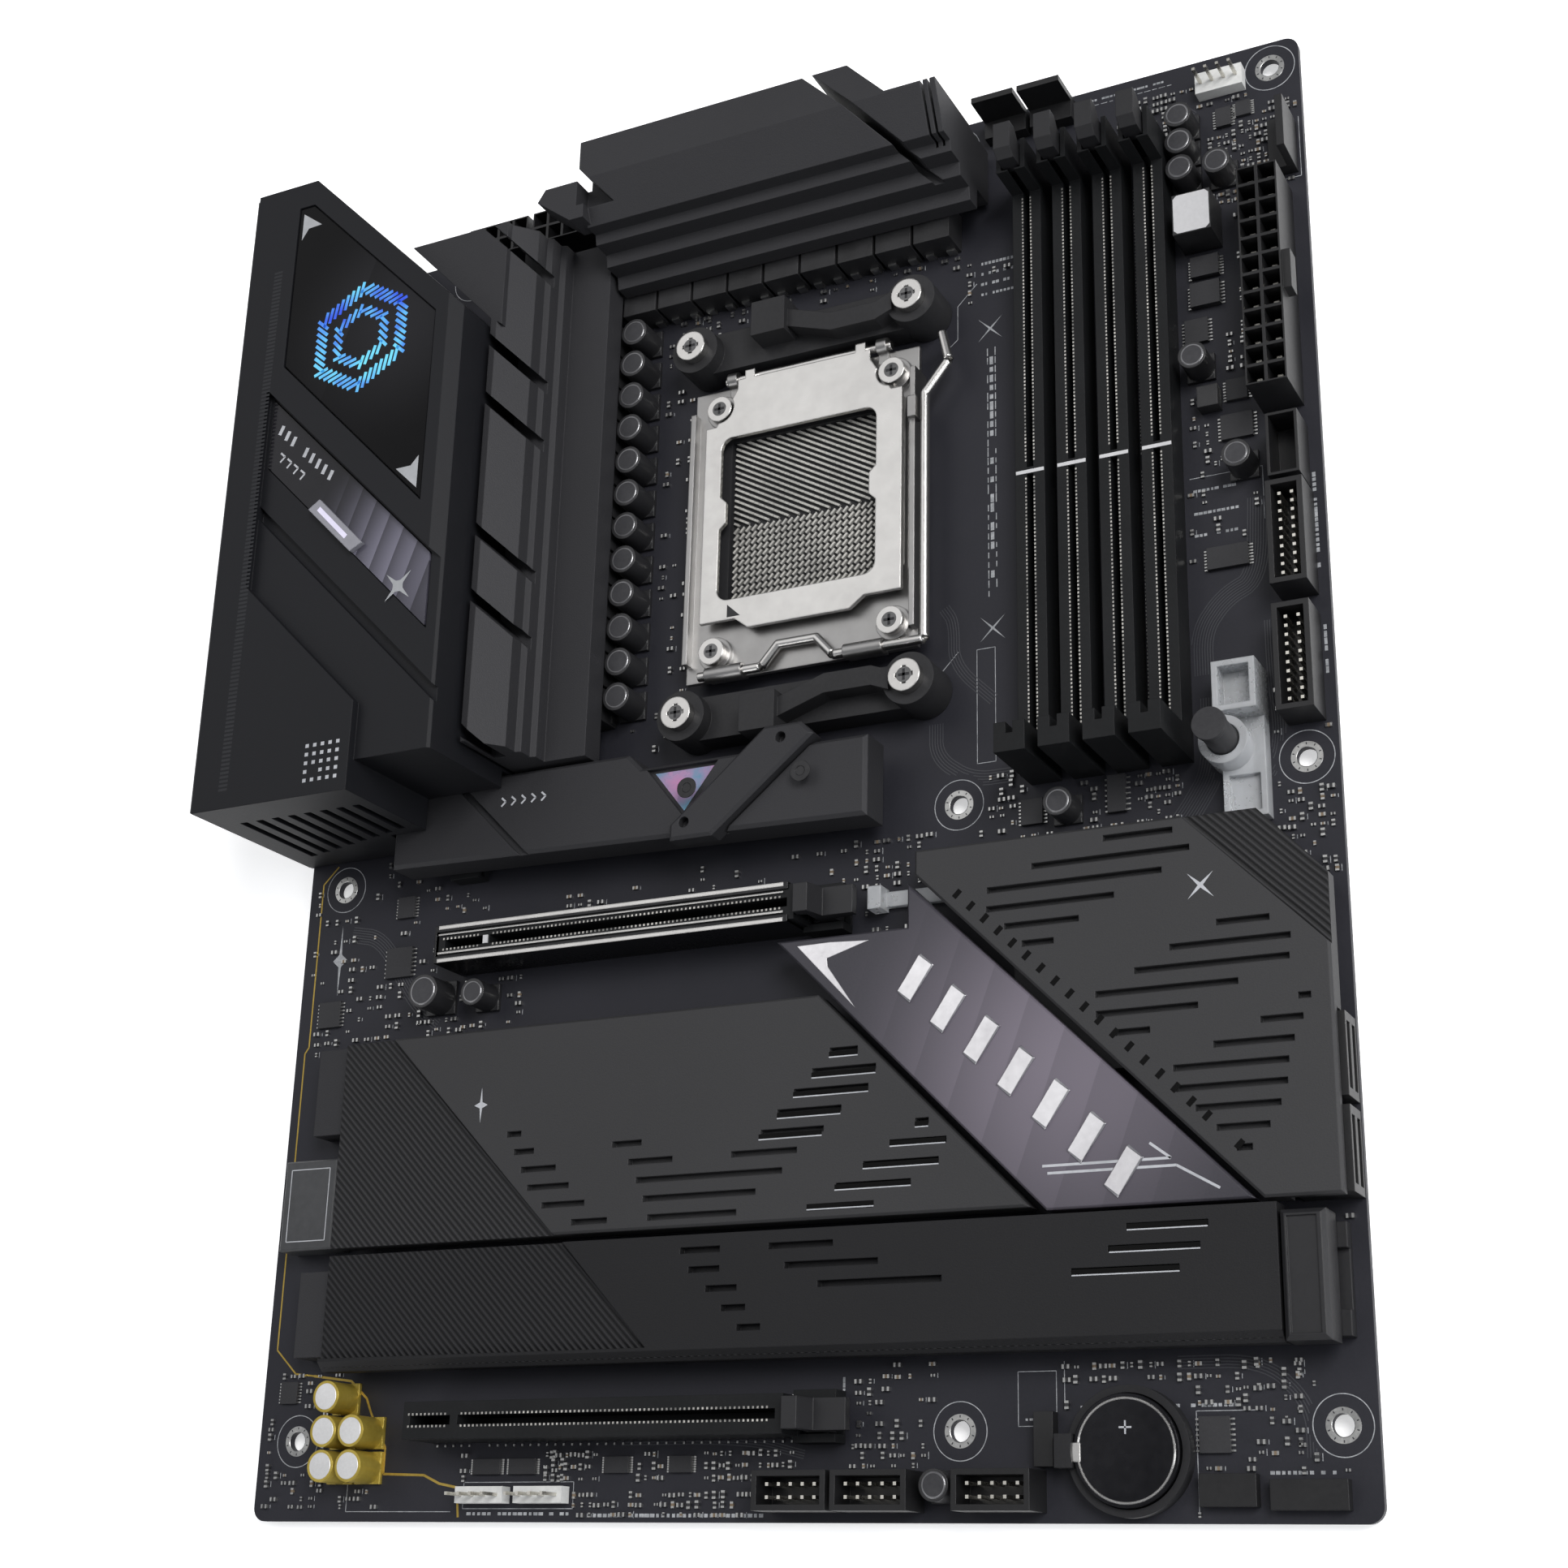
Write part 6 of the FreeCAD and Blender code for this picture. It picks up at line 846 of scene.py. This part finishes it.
def pin_field(x0, y0, x1, y1, columns, lines):
    """Centres of a grid of pins spread evenly over a rectangle."""
    xs = x0 + (x1 - x0) * (np.arange(columns) + 0.5) / columns
    ys = y0 + (y1 - y0) * (np.arange(lines) + 0.5) / lines
    return np.stack(grid(xs, ys), 1)


pin_half = 0.32
shrouded = np.concatenate([pin_field(235.4, 175.8, 240.4, 194.8, 2, 10),
    pin_field(235.4, 149.4, 240.4, 168.4, 2, 10), pin_field(127.1, 3.1, 139.7, 7.9, 5, 2),
    pin_field(143.7, 3.1, 156.3, 7.9, 5, 2), pin_field(168.3, 3.1, 180.7, 7.9, 5, 2)])
skin("shrouded_pins", pads(*shrouded.T, pin_half, pin_half, 2.0, 7.6), pin_tin)
white_nylon = finish("white_nylon", (0.5, 0.51, 0.5), (0.7, 0.7, 0.69), (0.4, 0.55), fine=1200.0, slow=60.0,
    edge=0.0002)
pale = np.array([(53.95, 3.55, 65.45, 6.85), (68.15, 3.55, 79.65, 6.85), (221.79, 294.55, 232.09, 299.65)])
skin("pale_header_shells", bars(*pale.T, 0.02, 3.06), white_nylon)
pale_pins = np.concatenate([pin_field(53.95, 3.8, 65.45, 6.6, 4, 1), pin_field(68.15, 3.8, 79.65, 6.6, 4, 1),
    pin_field(221.79, 294.9, 232.09, 299.3, 4, 1)])
skin("pale_header_pins", pads(*pale_pins.T, pin_half, pin_half, 3.0, 8.4), pin_tin)

# ---- Solder side ---------------------------------------------------------------------------
# Every through-hole pin ends in a small cone of solder under the board.
# The cones follow the rows of the slots, power connectors, headers and rear ports above them.
under = (board_low[2] - board_high[2]) * 1000
port_rows = np.concatenate([pin_field(10.0, y - 5.0, 14.0, y + 5.0, 2, 5)
    for y in board_y - np.array([24.0, 43.0, 61.0, 79.0, 99.0, 136.0, 149.0])])
joints = np.concatenate([np.stack([row_x[::2] - 1.6, row_y[::2]], 1), np.stack([row_x[1::2] + 1.6, row_y[1::2]], 1),
    np.stack([term_x, term_y], 1), shrouded, pale_pins, port_rows, *[np.stack([lane[::2] + 0.5 * (k > 0),
    0 * lane[::2] + y + 2.2 * k], 1) for y in (upper_slot_y, lower_slot_y) for k in (-1, 1)]])
skin("under_solder", turned(*joints.T, [(0.18, under - 0.7), (0.42, under - 0.12), (0.5, under)], 7), tin)

# ---- Coin cell ----------------------------------------------------------------------------
# A steel button cell in a round moulded holder, under a small sprung clip.
# It lifts out against the clip; a plus sign is stamped in its upper face.
coat_node(finish("cell_steel", (0.012, 0.012, 0.014), (0.028, 0.028, 0.031), (0.2, 0.34), metallic=0.8, fine=500.0,
    slow=50.0, edge=0.0004), "coin_cell")
coat_node(socket_polymer, "coin_cell_holder")
# A thin bright ring at the cell's rounded edge is a painted highlight.
skin("cell_edge_painted_highlight", turned([199.1], [12.4], [(9.45, 4.58), (9.3, 4.66), (9.0, 4.66), (8.85, 4.58)], 72), bright_nickel_and_highlight,
    loop=True)
skin("cell_plus", strokes([197.9, 199.1], [16.4, 15.2], [200.3, 199.1], [16.4, 17.6], 0.32, 4.6, 4.64), print_and_highlight_grey)
skin("cell_clip", prism([(187.4, 10.4), (190.6, 10.4), (190.6, 13.8), (187.4, 13.8)], 4.62, 4.9), bright_nickel_and_highlight)

# ---- Audio section ---------------------------------------------------------------------------
# A drawn steel can shields the audio chip; it is soldered to a ring of ground pads.
coat_node(finish("can_steel", (0.05, 0.051, 0.054), (0.085, 0.087, 0.09), (0.35, 0.5), metallic=0.4, fine=700.0,
    slow=30.0, edge=0.0003), "audio_shield")
skin("shield_lines", path_strokes([(7.4, 58.4), (17.8, 58.4), (17.8, 74.2), (7.4, 74.2), (7.4, 58.4)], 0.2, 6.8,
    6.83), print_and_highlight_grey)
